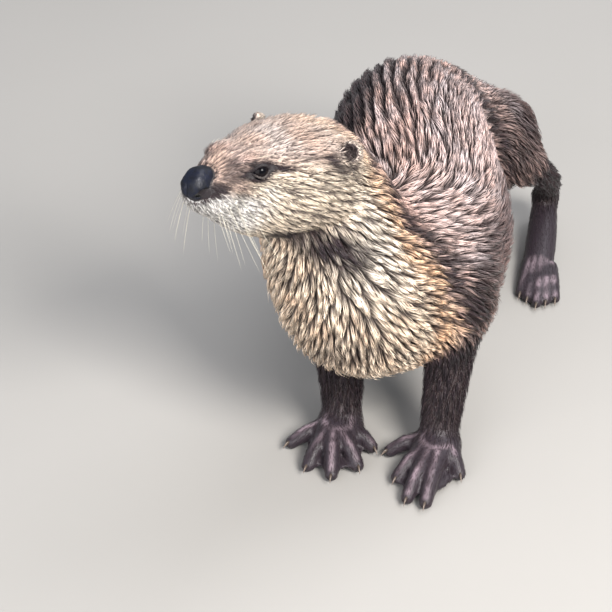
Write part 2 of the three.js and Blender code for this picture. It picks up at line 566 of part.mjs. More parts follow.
// A curved claw from inside the toe's end, pointing on and down.
function claw(root, tip, grow = 0) {
  const toe = unit([tip[0] - root[0], tip[1] - root[1], 0]);
  const level = unit([toe[0], toe[1] - CLAW_AHEAD, 0]);
  const sideways = cross([0, 0, 1], level);
  const start = add(tip, add(mul(level, CLAW_START), [0, 0, CLAW_HIGH]));
  const positions = [];
  const faces = [];
  CLAW_RINGS.forEach(([t, rise, size]) => {
    const c = add(start, add(mul(level, t * CLAW_LENGTH), [0, 0, rise * CLAW_LENGTH]));
    for (let i = 0; i < CLAW_SIDES; i += 1) {
      const a = (i / CLAW_SIDES) * 2 * Math.PI + Math.PI / 2;
      const r = CLAW_R * size + grow;
      positions.push(...add(c, add(mul(sideways, Math.cos(a) * r * CLAW_NARROW), [0, 0, Math.sin(a) * r])));
    }
  });
  const back = positions.length / 3;
  positions.push(...sub(start, mul(level, grow)));
  const point = add(start, mul(level, CLAW_LENGTH + grow));
  point[2] = Math.max(CLAW_OVER_FLOOR, start[2] - CLAW_DROP * CLAW_LENGTH) - grow / 2;
  positions.push(...point);
  for (let i = 0; i < CLAW_SIDES; i += 1) {
    const j = (i + 1) % CLAW_SIDES;
    faces.push(back, j, i);
    for (let r = 0; r + 1 < CLAW_RINGS.length; r += 1) {
      const [a, b] = [r * CLAW_SIDES, (r + 1) * CLAW_SIDES];
      faces.push(a + i, a + j, b + j, a + i, b + j, b + i);
    }
    const last = (CLAW_RINGS.length - 1) * CLAW_SIDES;
    faces.push(last + i, last + j, back + 1);
  }
  const geometry = new THREE.BufferGeometry();
  geometry.setAttribute('position', new THREE.Float32BufferAttribute(positions, 3));
  geometry.setIndex(faces);
  const shape = solid(geometry);
  if (shape.volume() > 0) return shape;
  for (let i = 0; i < faces.length; i += 3) [faces[i], faces[i + 1]] = [faces[i + 1], faces[i]];
  geometry.setIndex(faces);
  return solid(geometry);
}

let taken = null;
const keepOut = (shape) => { taken = taken ? taken.add(shape) : shape; };
const pieceOf = {};
for (const cut of [...CUTS, CHEST]) {
  let piece = flesh(cut.box[0], cut.box[1], CELL[cut.cell], KEEP[cut.cell]);
  if (taken) piece = piece.subtract(taken);
  if (cut.centre) {
    piece = piece.intersect(slab(cut.centre, cut.way, cut.half));
    keepOut(slab(cut.centre, cut.way, cut.half, GAP));
  }
  pieceOf[cut.name] = biggest(piece);
}

let headPiece = pieceOf.head.subtract(nosePad(GAP));
const round = (r) => [r, r, r];
for (const at of eyes) headPiece = headPiece.subtract(ball(at, round(EYE_R + EYE_SOCKET)));
for (const s of [1, -1]) headPiece = headPiece.subtract(earRoom(s));
pieceOf.head = biggest(headPiece);
pieceOf.neck = biggest([1, -1].reduce((shape, s) => shape.subtract(earRoom(s)), pieceOf.neck));

function pawOf(name) {
  const end = name.startsWith('fore') ? 'front' : 'hind';
  return `paw_${end}_${name.includes('left') ? 'left' : 'right'}`;
}
for (const [name, root, tip] of toes) {
  bits.push([name, claw(root, tip), 'claw']);
  pieceOf[pawOf(name)] = pieceOf[pawOf(name)].subtract(claw(root, tip, GAP));
}
const KIND = {
  head: 'front', neck: 'front', chest: 'back', loin: 'back', rump: 'back', haunch: 'back',
  tail: 'back', paw: 'paw', foreleg: 'leg', hind: 'leg',
};
for (const name of Object.keys(pieceOf)) bits.push([name, biggest(pieceOf[name]), KIND[name.split('_')[0]]]);
bits.push(['nose', nosePad(0), 'nose']);
bits.push(['ear_left', ear(1), 'ear'], ['ear_right', ear(-1), 'ear']);
eyes.forEach((at, i) => bits.push([i ? 'eye_right' : 'eye_left', ball(at, round(EYE_R)), 'eye']));

// ---------- looks ----------
const LOOKS = {
  front: [0xb9a283, 0.62], back: [0x75645a, 0.58], leg: [0x3a2c2c, 0.6], paw: [0x4a3d44, 0.55],
  nose: [0x1d2230, 0.4], ear: [0x5b4336, 0.65], eye: [0x10121c, 0.08], claw: [0x5d5148, 0.4],
};

function meshOf(name, shape, kind) {
  const m = shape.getMesh();
  const geometry = new THREE.BufferGeometry();
  const positions = new Float32Array((m.vertProperties.length / m.numProp) * 3);
  for (let i = 0; i < positions.length / 3; i += 1) {
    for (let k = 0; k < 3; k += 1) positions[i * 3 + k] = m.vertProperties[i * m.numProp + k];
  }
  geometry.setAttribute('position', new THREE.BufferAttribute(positions, 3));
  geometry.setIndex(new THREE.BufferAttribute(new Uint32Array(m.triVerts), 1));
  geometry.computeVertexNormals();
  const [color, roughness] = LOOKS[kind];
  const look = new THREE.MeshStandardMaterial({ color, roughness, metalness: 0, name });
  const mesh = new THREE.Mesh(geometry, look);
  mesh.name = name;
  return mesh;
}

const otter = new THREE.Group();
otter.name = 'river_otter';
const meshes = bits.map(([name, shape, kind]) => meshOf(name, shape, kind));
// origin under the middle of the model's outline
const outline = new THREE.Box3();
for (const mesh of meshes) {
  outline.union(new THREE.Box3().setFromBufferAttribute(mesh.geometry.attributes.position));
}
const middle = outline.getCenter(new THREE.Vector3());
for (const mesh of meshes) {
  mesh.geometry.translate(-middle.x, -middle.y, 0);
  otter.add(mesh);
}

export default otter;
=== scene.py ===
"""River otter, standing with its head turned: one skin, a wet coat of locks, nose, eyes, claws and whiskers.

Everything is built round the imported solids, which reach out to the tips of the coat.
"""

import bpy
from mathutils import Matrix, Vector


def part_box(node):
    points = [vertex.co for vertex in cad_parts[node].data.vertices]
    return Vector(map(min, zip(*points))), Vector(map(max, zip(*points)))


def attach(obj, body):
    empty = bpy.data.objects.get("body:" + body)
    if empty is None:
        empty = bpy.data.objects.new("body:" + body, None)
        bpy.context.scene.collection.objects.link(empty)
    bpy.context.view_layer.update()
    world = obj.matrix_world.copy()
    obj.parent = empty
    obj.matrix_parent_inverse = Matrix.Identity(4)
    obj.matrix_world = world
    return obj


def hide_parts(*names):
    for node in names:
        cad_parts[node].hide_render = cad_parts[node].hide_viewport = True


bl_info = {
    "name": "River otter",
    "version": (1, 0, 0),
    "blender": (4, 5, 0),
    "location": "3D View > Sidebar > Otter",
    "description": "Builds a river otter's skin, coat, face, claws and whiskers on a plain stage",
    "category": "Object",
}

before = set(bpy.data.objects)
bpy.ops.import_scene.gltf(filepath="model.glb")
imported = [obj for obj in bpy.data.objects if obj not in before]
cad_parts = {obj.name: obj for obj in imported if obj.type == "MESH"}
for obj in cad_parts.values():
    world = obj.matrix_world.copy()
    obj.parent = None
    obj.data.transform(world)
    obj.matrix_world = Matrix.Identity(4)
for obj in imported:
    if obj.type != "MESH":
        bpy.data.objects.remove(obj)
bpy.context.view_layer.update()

import math

import bmesh
import bpy
import numpy as np
from bpy.props import FloatProperty, FloatVectorProperty, IntProperty, PointerProperty
from mathutils import Vector, kdtree

MM = 0.001                       # the forms are laid out in millimetres
BODY = "root"

# ---------- sizes of the body's forms, millimetres ----------
# The floor is z = 0, the otter faces -Y and its left side is +X.
HEAD_AT = np.array([-61.2, 13.4, 237.6])    # middle of the head between the ears
HEAD_TURN, HEAD_RAISE, HEAD_LEAN = 31.0, 19.3, 8.6
EYE_AT = (59.7, 19.6, -2.6)      # forward, left, up from the head's middle
EYE_R = 5.8
EYE_FACE = (0.5, 0.82, 0.26)     # way the left eye looks, in the head's directions
NOSE_AT = (92.3, 0.0, -12.4)
NOSE_SIZE = (11.6, 9.5, 10.5)
NOSE_SQUARE = 3.1                # 2 would be an ellipsoid, more is squarer
NOSE_NARROW = 0.03               # how much the pad narrows above and below its wings
NOSE_SLOPE = 0.3                 # how much the pad's front falls back above its middle
NOSE_BACK = 86.5                 # the pad is the part of its form ahead of here
NOSE_CURVE = 0.028               # how the pad's back edge bends forward at its sides
EAR_AT = (0.0, 41.5, 10.0)
EAR_SIZE = (6.2, 9.0, 8.5)       # through the cup, across, up
EAR_BOWL = (7.0, 5.2, 5.6)
EAR_BOWL_OUT = 3.4
EAR_BOWL_AHEAD = 1.8             # the hollow lies nearer the cup's front rim
EAR_FACE = (0.62, 0.75, 0.22)

FAR = 60.0                       # reading far outside the body
REACH = 38.0                     # how far a form still blends into its neighbours
SOFT = 7.0                       # softness of the borders between regions
CELL = 2.8                       # skin's plain mesh size
COARSE = 4                       # plain cells in one cell of the first, rough reading
SEED = 11

PARTS = ("trunk", "haunch", "neck", "head", "muzzle", "ear",
         "foreleg", "forepaw", "hindleg", "hindfoot", "tail")
PART = {name: i for i, name in enumerate(PARTS)}
# coat's depth over the skin
DEPTH = dict(trunk=6.0, haunch=5.0, neck=6.0, head=2.6, muzzle=1.2, ear=0.4,
             foreleg=3.0, forepaw=0.6, hindleg=2.6, hindfoot=0.6, tail=4.0)


# ---------- small helpers ----------
def unit(v):
    """The vector, or each row of vectors, at length one."""
    v = np.asarray(v, float)
    return v / np.maximum(np.linalg.norm(v, axis=-1, keepdims=True), 1e-9)


def ramp(x, low, high):
    """Smooth step from 0 at low to 1 at high."""
    t = np.clip((x - low) / (high - low), 0.0, 1.0)
    return t * t * (3 - 2 * t)


def bell(x, width):
    """1 at x = 0, falling off over width."""
    return np.exp(-(x / width) ** 2)


def head_directions():
    """Forward, left and up of the turned, raised and leaning head."""
    turn, lift, lean = np.radians([HEAD_TURN, HEAD_RAISE, HEAD_LEAN])
    forward = np.array([-math.sin(turn), -math.cos(turn), 0])
    side = np.array([math.cos(turn), -math.sin(turn), 0])
    up = np.array([0, 0, 1.0])
    f = forward * math.cos(lift) + up * math.sin(lift)
    t = up * math.cos(lift) - forward * math.sin(lift)
    leaning = t * math.cos(lean) - side * math.sin(lean)
    return np.array([f, side * math.cos(lean) + t * math.sin(lean), leaning])


HEAD_WAYS = head_directions()
WORLD = np.eye(3)


def head(f, s, t):
    """A place on the head: forward, left, up from its middle."""
    return HEAD_AT + np.array([f, s, t]) @ HEAD_WAYS


def head_way(f, s, t):
    """A direction given in the head's own directions."""
    return np.array([f, s, t]) @ HEAD_WAYS


def head_pair(place, side):
    """A place on the head's left side, or its mirror place on the right."""
    return head(place[0], side * place[1], place[2])


def to_head(points):
    """Places in the head's own directions."""
    return (points - HEAD_AT) @ HEAD_WAYS.T


def ripples(points, size, seed, waves=7):
    """Smooth unevenness from about -1 to 1 with bumps of about the given size."""
    rng = np.random.default_rng(seed)
    ways = unit(rng.normal(size=(waves, 3))) * (2 * math.pi / size) * rng.uniform(0.6, 1.5, (waves, 1))
    return np.sin(points @ ways.T + rng.uniform(0, 6.3, waves)).sum(axis=1) / math.sqrt(waves * 1.2)


# ---------- forms ----------
class Ellipsoid:
    """A rounded form in its own directions."""

    def __init__(self, part, centre, radii, blend, ways=WORLD):
        self.part, self.blend = PART[part], blend
        self.centre, self.radii, self.ways = np.array(centre, float), np.array(radii, float), np.array(ways)
        reach = np.sqrt(((self.ways.T * self.radii) ** 2).sum(axis=1))
        self.lo, self.hi = self.centre - reach, self.centre + reach

    def distance(self, points):
        """Rough distance to the form, and no lie of its own."""
        q = (points - self.centre) @ self.ways.T / self.radii
        near = np.sqrt((q * q).sum(axis=1))
        slope = np.sqrt(((q / self.radii) ** 2).sum(axis=1))
        return near * (near - 1) / np.maximum(slope, 1e-9), 0.0


class Tube:
    """A tapering tube along a smooth curve; tallness stretches it along up. Its hair lies along it."""

    def __init__(self, part, points, radii, blend, tall=1.0, up=(0, 0, 1), steps=4, lie=1.0):
        self.part, self.blend, self.lie = PART[part], blend, lie
        rows = np.column_stack([np.array(points, float), radii, np.broadcast_to(tall, len(radii))])
        self.rows = smooth_rows(rows, steps)
        self.up = unit(up)
        reach = (self.rows[:, 3] * np.maximum(1, self.rows[:, 4]))[:, None]
        self.lo = (self.rows[:, :3] - reach).min(axis=0)
        self.hi = (self.rows[:, :3] + reach).max(axis=0)

    def distance(self, points):
        """Rough distance to the tube, and the way its nearest stretch runs."""
        best = np.full(len(points), 1e9)
        along = np.zeros((len(points), 3))
        for a, b in zip(self.rows[:-1], self.rows[1:]):
            way = b[:3] - a[:3]
            length = np.linalg.norm(way)
            way = way / length
            u = unit(self.up - way * (self.up @ way))
            v = np.cross(way, u)
            d = points - a[:3]
            x = d @ way
            t = np.clip(x / length, 0, 1)
            tall = a[4] + (b[4] - a[4]) * t
            radius = a[3] + (b[3] - a[3]) * t
            e = np.sqrt((x - t * length) ** 2 + (d @ v) ** 2 + ((d @ u) / tall) ** 2) - radius
            e *= np.minimum(1, tall)
            closer = e < best
            best[closer] = e[closer]
            along[closer] = way
        return best, along * self.lie


def smooth_rows(rows, steps):
    """Rows along the smooth curve through the given ones."""
    q = np.vstack([2 * rows[0] - rows[1], rows, 2 * rows[-1] - rows[-2]])
    t = np.linspace(0, len(rows) - 1, (len(rows) - 1) * steps + 1)
    i = np.minimum(t.astype(int), len(rows) - 2)
    u = (t - i)[:, None]
    a, b, c, d = q[i], q[i + 1], q[i + 2], q[i + 3]
    bend, twist = 2 * a - 5 * b + 4 * c - d, 3 * b - a - 3 * c + d
    return 0.5 * (2 * b + (c - a) * u + bend * u * u + twist * u ** 3)


TRUNK = [(-21, 24, 121), (-8, 62, 115), (2, 112, 120), (-19, 165, 141), (-28, 212, 135), (-18, 256, 114),
         (-8, 300, 95)]
TRUNK_R = [50, 58, 63, 61, 56, 49, 36]
NECK = [(-23, 42, 122), (-35, 26, 150), (-46, 24, 186), tuple(head(-12, 0, -20))]
NECK_R = [54, 53, 48, 41]
FORELEGS = {
    1: ([(36, 62, 100), (35, 56, 70), (34, 36, 34), (34, 26, 16)], [23, 19, 16, 13]),
    -1: ([(-50, 54, 98), (-44, 50, 68), (-38, 38, 32), (-36, 28, 15)], [26, 20, 16, 13]),
}
FOREPAWS = {
    1: dict(tips=[(2.5, 13.5, 4.6), (14, -14, 4.6), (25, -34, 4.6), (38, -36, 4.6), (54, 0, 4.6)],
            roots=[(22, 22, 10), (25, 6, 12), (31, 2, 13), (38, 2, 13), (44, 14, 11)],
            pad=((34, 16, 10), (18, 22, 13)), web=((31, -5, 5), (21, 24, 3))),
    -1: dict(tips=[(-66, 6, 4.6), (-49, -16, 4.6), (-31, -22, 4.6), (-16, -8, 4.6), (-11, 14.5, 4.6)],
             roots=[(-47, 20, 10), (-43, 10, 12), (-37, 6, 13), (-31, 8, 13), (-25, 20, 10)],
             pad=((-36, 20, 10), (18, 22, 13)), web=((-35, 2, 5), (22, 20, 3))),
}
FORE_TOE, FORE_KNUCKLE = (7, 6, 5), 3.0
HIND_SHIFT = {1: 0, -1: -6}      # the right hind leg stands a little further out
HIND_SPREAD = (-8, -4, 1, 5, 9)
HIND_TOE, HIND_KNUCKLE = (5.6, 5, 4.2), 1.6
TAIL = [(-8, 280, 102), (-9, 320, 84), (-13, 354, 59), (-24, 386, 36), (-52, 408, 24.2), (-86, 403, 19.6),
        (-114, 372, 16.8), (-127, 328, 13.8), (-124, 284, 10.6), (-110, 248, 7)]
TAIL_R = [38, 34, 29, 26, 24, 21, 18, 15, 11.5, 7]
SIDES = (1, -1)


def fore_toes(side):
    """Root and tip of each toe of one forepaw."""
    return list(zip(FOREPAWS[side]["roots"], FOREPAWS[side]["tips"]))


def hind_toes(side):
    """Root and tip of each toe of one hind foot."""
    c = HIND_SHIFT[side]
    return [((side * (64 + spread) + c, 262 - abs(spread) * 0.3, 7),
             (side * (68 + spread * 1.55) + c, 216 + abs(spread - 1) * 1.2, 3.5)) for spread in HIND_SPREAD]


def toe_form(part, root, tip, radii, knuckle):
    """One toe, arched between its root and its tip."""
    middle = (np.array(root) + tip) / 2 + (0, 0, knuckle)
    return Tube(part, [root, middle, tip], radii, 3, steps=2)


def trunk_forms():
    """Trunk, neck, shoulders and haunches."""
    forms = [Tube("trunk", TRUNK, TRUNK_R, 20, tall=[1, 1.06, 1.12, 1.15, 1.13, 1.05, 1], steps=8),
             Tube("neck", NECK, NECK_R, 25, steps=8, lie=-1.0),
             Ellipsoid("trunk", (42, 60, 116), (22, 34, 32), 20),
             Ellipsoid("trunk", (-54, 54, 106), (21, 34, 34), 20)]
    forms += [Ellipsoid("haunch", (s * 29 - 6, 280, 94), (25, 38, 38), 20) for s in SIDES]
    return forms


def head_forms():
    """Skull, cheeks, muzzle, jaw, lips and brows."""
    up = HEAD_WAYS[2]
    forms = [Ellipsoid("head", head(8, 0, -7), (44, 43, 30), 14, HEAD_WAYS)]
    forms += [Ellipsoid("head", head(20, s * 25, -16), (36, 20, 24), 14, HEAD_WAYS) for s in SIDES]
    forms.append(Tube("muzzle", [head(30, 0, -4), head(62, 0, -7), head(84, 0, -15)], [29, 22, 14.5], 10,
                      tall=[0.8, 0.78, 0.85], up=up, lie=-1.0))
    forms.append(Tube("muzzle", [head(28, 0, -30), head(52, 0, -28), head(70, 0, -26), head(84, 0, -25)],
                      [29, 23, 16, 10], 12, tall=[0.85, 0.85, 0.85, 0.8], up=up, lie=-1.0))
    for s in SIDES:
        forms.append(Ellipsoid("muzzle", head(81, s * 9, -23), (12, 12, 9.5), 6, HEAD_WAYS))
        forms.append(Ellipsoid("muzzle", head(61, s * 17, 2), (11, 7, 6), 6, HEAD_WAYS))
    return forms


def leg_forms():
    """Legs, paws and toes."""
    forms = [Tube("foreleg", *FORELEGS[s], 14) for s in SIDES]
    for s in SIDES:
        c = HIND_SHIFT[s]
        forms.append(Tube("haunch", [(s * 26 + c, 288, 106), (s * 46 + c, 272, 90)], [28, 17], 14))
        forms.append(Tube("hindleg", [(s * 47 + c, 274, 88), (s * 61 + c, 300, 60), (s * 56 + c, 327, 30)],
                          [15, 11, 9.5], 10))
    for s in SIDES:
        forms.append(Ellipsoid("forepaw", *FOREPAWS[s]["pad"], 8))
        forms += [toe_form("forepaw", *toe, FORE_TOE, FORE_KNUCKLE) for toe in fore_toes(s)]
        forms.append(Ellipsoid("forepaw", *FOREPAWS[s]["web"], 4))
    for s in SIDES:
        c = HIND_SHIFT[s]
        sole = [(s * 56 + c, 325, 28), (s * 60 + c, 290, 14.5), (s * 63 + c, 256, 6.2)]
        forms.append(Tube("hindfoot", sole, [10, 12, 12.5], 8, tall=[1, 0.85, 0.62]))
        forms += [toe_form("hindfoot", *toe, HIND_TOE, HIND_KNUCKLE) for toe in hind_toes(s)]
        forms.append(Ellipsoid("hindfoot", (s * 67 + c, 242, 3), (15, 24, 4), 4))
    return forms


def ear_ways(side):
    """Out of the ear's cup, across it and up it."""
    out = unit(head_way(EAR_FACE[0], side * EAR_FACE[1], EAR_FACE[2]))
    across = unit(np.cross(HEAD_WAYS[2], out))
    return np.array([out, across, np.cross(out, across)])


def ear_forms():
    """The cups of the ears."""
    return [Ellipsoid("ear", head_pair(EAR_AT, s), EAR_SIZE, 4, ear_ways(s)) for s in SIDES]


FORMS = trunk_forms() + head_forms() + leg_forms() + [Tube("tail", TAIL, TAIL_R, 18, steps=6)] + ear_forms()


def blend_min(a, b, k):
    """Smaller of two readings, with a fillet of size k."""
    h = np.clip(0.5 + 0.5 * (b - a) / k, 0, 1)
    return b + (a - b) * h - k * h * (1 - h)


def ear_bowls():
    """The hollows of the ears."""
    bowls = []
    for s in SIDES:
        ways = ear_ways(s)
        at = head(EAR_AT[0] + EAR_BOWL_AHEAD, s * EAR_AT[1], EAR_AT[2]) + ways[0] * EAR_BOWL_OUT
        bowls.append(Ellipsoid("ear", at, EAR_BOWL, 1, ways))
    return bowls


BOWLS = ear_bowls()
DEPTHS = np.array([DEPTH[name] for name in PARTS])


def survey(points):
    """Distance to the skin, share of each part, and the lie of the hair, at each point."""
    value = np.full(len(points), FAR)
    shares = np.full((len(points), len(PARTS)), 1e-9)
    lie = np.zeros((len(points), 3))
    for form in FORMS:
        near = np.flatnonzero(np.all((points > form.lo - REACH) & (points < form.hi + REACH), axis=1))
        if not len(near):
            continue
        d, along = form.distance(points[near])
        value[near] = blend_min(value[near], d, form.blend)
        weight = np.exp(-d / SOFT)
        shares[near, form.part] += weight
        lie[near] += weight[:, None] * along
    total = shares.sum(axis=1, keepdims=True)
    shares /= total
    lie /= total
    value += shares @ DEPTHS
    for bowl in BOWLS:
        near = np.flatnonzero(np.all((points > bowl.lo - 9) & (points < bowl.hi + 9), axis=1))
        if len(near):
            value[near] = -blend_min(-value[near], bowl.distance(points[near])[0], 1.2)
    return np.maximum(value, -points[:, 2]), shares, lie


def share_of(shares, *parts):
    """How much of each point belongs to the named parts."""
    return shares[:, [PART[part] for part in parts]].sum(axis=1)


def number_parts(shares, numbers, names, groups):
    """Sets the number of every point whose strongest part is one of a name's parts."""
    part = shares.argmax(axis=1)
    for name, *parts in groups:
        numbers[np.isin(part, [PART[p] for p in parts])] = names.index(name)


def skin_value(points, block=150000):
    """Distance to the skin, in blocks to save memory."""
    return np.concatenate([survey(points[i:i + block])[0] for i in range(0, len(points), block)])


def settle(points, times=2):
    """Moves points onto the skin."""
    step = 0.15
    for _ in range(times):
        value = skin_value(points)
        slope = np.stack([skin_value(points + step * way) - value for way in WORLD], axis=1) / step
        move = value[:, None] * slope / np.maximum((slope ** 2).sum(axis=1, keepdims=True), 0.2)
        points = points - np.clip(move, -CELL, CELL)
    points[:, 2] = np.maximum(points[:, 2], 0)
    return points


# ---------- skin mesh ----------
def read_grid(lo, hi, cell):
    """The skin's readings on a grid, worked out closely only near the skin."""
    rough = cell * COARSE
    counts = np.ceil((np.array(hi) - lo) / rough).astype(int) + 1
    axes = [lo[i] + rough * np.arange(counts[i]) for i in range(3)]
    grid = np.stack(np.meshgrid(*axes, indexing="ij"), -1).reshape(-1, 3)
    first = skin_value(grid).reshape(counts)
    fine_counts = (counts - 1) * COARSE + 1
    nearest = [np.rint(np.arange(n) / COARSE).astype(int) for n in fine_counts]
    guess = first[np.ix_(*nearest)].astype(np.float32)
    close = np.argwhere(np.abs(guess) < rough * 1.35)
    guess[tuple(close.T)] = skin_value(lo + close * cell)
    return guess


def net(values, lo, cell):
    """Points and four-sided faces of the surface where the readings cross zero."""
    inside = values < 0
    size = np.array(values.shape)
    count = np.zeros(size - 1, np.uint8)
    for i, j, k in np.ndindex(2, 2, 2):
        count += inside[i:size[0] - 1 + i, j:size[1] - 1 + j, k:size[2] - 1 + k]
    crossed = (count > 0) & (count < 8)
    cells = np.argwhere(crossed)
    number = np.full(crossed.shape, -1)
    number[crossed] = np.arange(len(cells))
    total, hits = np.zeros((len(cells), 3)), np.zeros(len(cells))
    for axis in range(3):
        u, v = [a for a in range(3) if a != axis]
        for du, dv in np.ndindex(2, 2):
            a = cells.copy()
            a[:, u] += du
            a[:, v] += dv
            b = a.copy()
            b[:, axis] += 1
            fa, fb = values[tuple(a.T)], values[tuple(b.T)]
            cross = (fa < 0) != (fb < 0)
            spot = a[cross].astype(float)
            spot[:, axis] += fa[cross] / (fa[cross] - fb[cross])
            total[cross] += spot
            hits[cross] += 1
    faces = []
    for axis in range(3):
        u, v = (axis + 1) % 3, (axis + 2) % 3
        first, second = [slice(None)] * 3, [slice(None)] * 3
        first[axis], second[axis] = slice(0, -1), slice(1, None)
        edges = np.argwhere(inside[tuple(first)] != inside[tuple(second)])
        across = edges[:, (u, v)]
        edges = edges[((across > 0) & (across < size[[u, v]] - 1)).all(axis=1)]
        ring = []
        for du, dv in ((0, 0), (1, 0), (1, 1), (0, 1)):
            k = edges.copy()
            k[:, u] -= du
            k[:, v] -= dv
            ring.append(number[tuple(k.T)])
        ring = np.stack(ring, axis=1)
        flip = ~inside[tuple(edges.T)]
        ring[flip] = ring[flip][:, ::-1]
        faces.append(ring)
    return total / hits[:, None] * cell + lo, np.concatenate(faces)


def new_mesh(name, points, faces):
    """A mesh object from points in millimetres and rows of equal-sided faces."""
    mesh = bpy.data.meshes.new(name)
    mesh.vertices.add(len(points))
    mesh.vertices.foreach_set("co", ((points * MM) + SHIFT).astype(np.float32).ravel())
    sides = faces.shape[1]
    mesh.loops.add(faces.size)
    mesh.loops.foreach_set("vertex_index", faces.ravel().astype(np.int32))
    mesh.polygons.add(len(faces))
    mesh.polygons.foreach_set("loop_start", np.arange(0, faces.size, sides, dtype=np.int32))
    mesh.polygons.foreach_set("loop_total", np.full(len(faces), sides, np.int32))
    mesh.polygons.foreach_set("use_smooth", np.ones(len(faces), bool))
    mesh.update(calc_edges=True)
    made = bpy.data.objects.new(name, mesh)
    bpy.context.scene.collection.objects.link(made)
    return made


def read_rows(holder, key, width):
    """One row of numbers for each point, out of a mesh's points or one of its attributes."""
    rows = np.empty(len(holder) * width, np.float32)
    holder.foreach_get(key, rows)
    return rows.reshape(-1, width).astype(float)


def places(made):
    """A mesh object's points, in millimetres."""
    return (read_rows(made.data.vertices, "co", 3) - SHIFT) / MM


def put(made, points):
    """Sets a mesh object's points, in millimetres."""
    made.data.vertices.foreach_set("co", (points * MM + SHIFT).astype(np.float32).ravel())
    made.data.update()


def facing(made):
    """The normals of a mesh object's points."""
    return unit(read_rows(made.data.vertices, "normal", 3))


def divide(made, chosen):
    """Halves the edges of every face whose points are all chosen."""
    bm = bmesh.new()
    bm.from_mesh(made.data)
    edges = {e for face in bm.faces if all(chosen[v.index] for v in face.verts) for e in face.edges}
    bmesh.ops.subdivide_edges(bm, edges=list(edges), cuts=1, use_grid_fill=True)
    bm.to_mesh(made.data)
    bm.free()
    made.data.update()


def model_shift():
    """Offset in metres from the forms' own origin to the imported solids' one."""
    lo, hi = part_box("eye_left")
    return np.array((lo + hi) / 2) - head(*EYE_AT) * MM


SHIFT = model_shift()


# ---------- lie of the hair ----------
# Guides on the head: place (forward, side, up), way the hair points there, how far the guide reaches.
HEAD_GUIDES = (
    ((84, 0, 2), (-1, 0.05, 0.25), 12), ((85, 16, -11), (-0.76, 0.45, -0.40), 11),
    ((93, 15, -21), (-0.45, 0.55, -0.70), 11), ((95, 8, -27), (-0.49, 0.10, -0.87), 9),
    ((72, 20, -9), (-0.88, 0.24, -0.41), 12), ((86, 6, -1), (-0.75, 0.45, 0.40), 9),
    ((73, 2, 7), (-0.9, 0.2, 0.35), 14), ((59, 23, 5), (-1, 0.04, -0.03), 10),
    ((47, 31, 1), (-0.85, 0.5, -0.05), 14), ((56, 28, -21), (-0.75, 0.5, -0.40), 16),
    ((64, 20, -32), (-0.85, 0.2, -0.50), 16), ((43, 40, -20), (-0.90, 0.3, -0.30), 16),
    ((42, 39, -5), (-0.9, 0.4, -0.08), 24), ((17, 45, -24), (-0.98, 0, -0.19), 24),
    ((47, 7, 15), (-0.92, 0.25, 0.28), 22), ((25, 12, 21), (-0.98, 0.18, 0.05), 24),
    ((4, 19, 21), (-0.95, 0.3, -0.08), 22), ((8, 47, -6), (-0.97, 0.01, -0.24), 20),
)
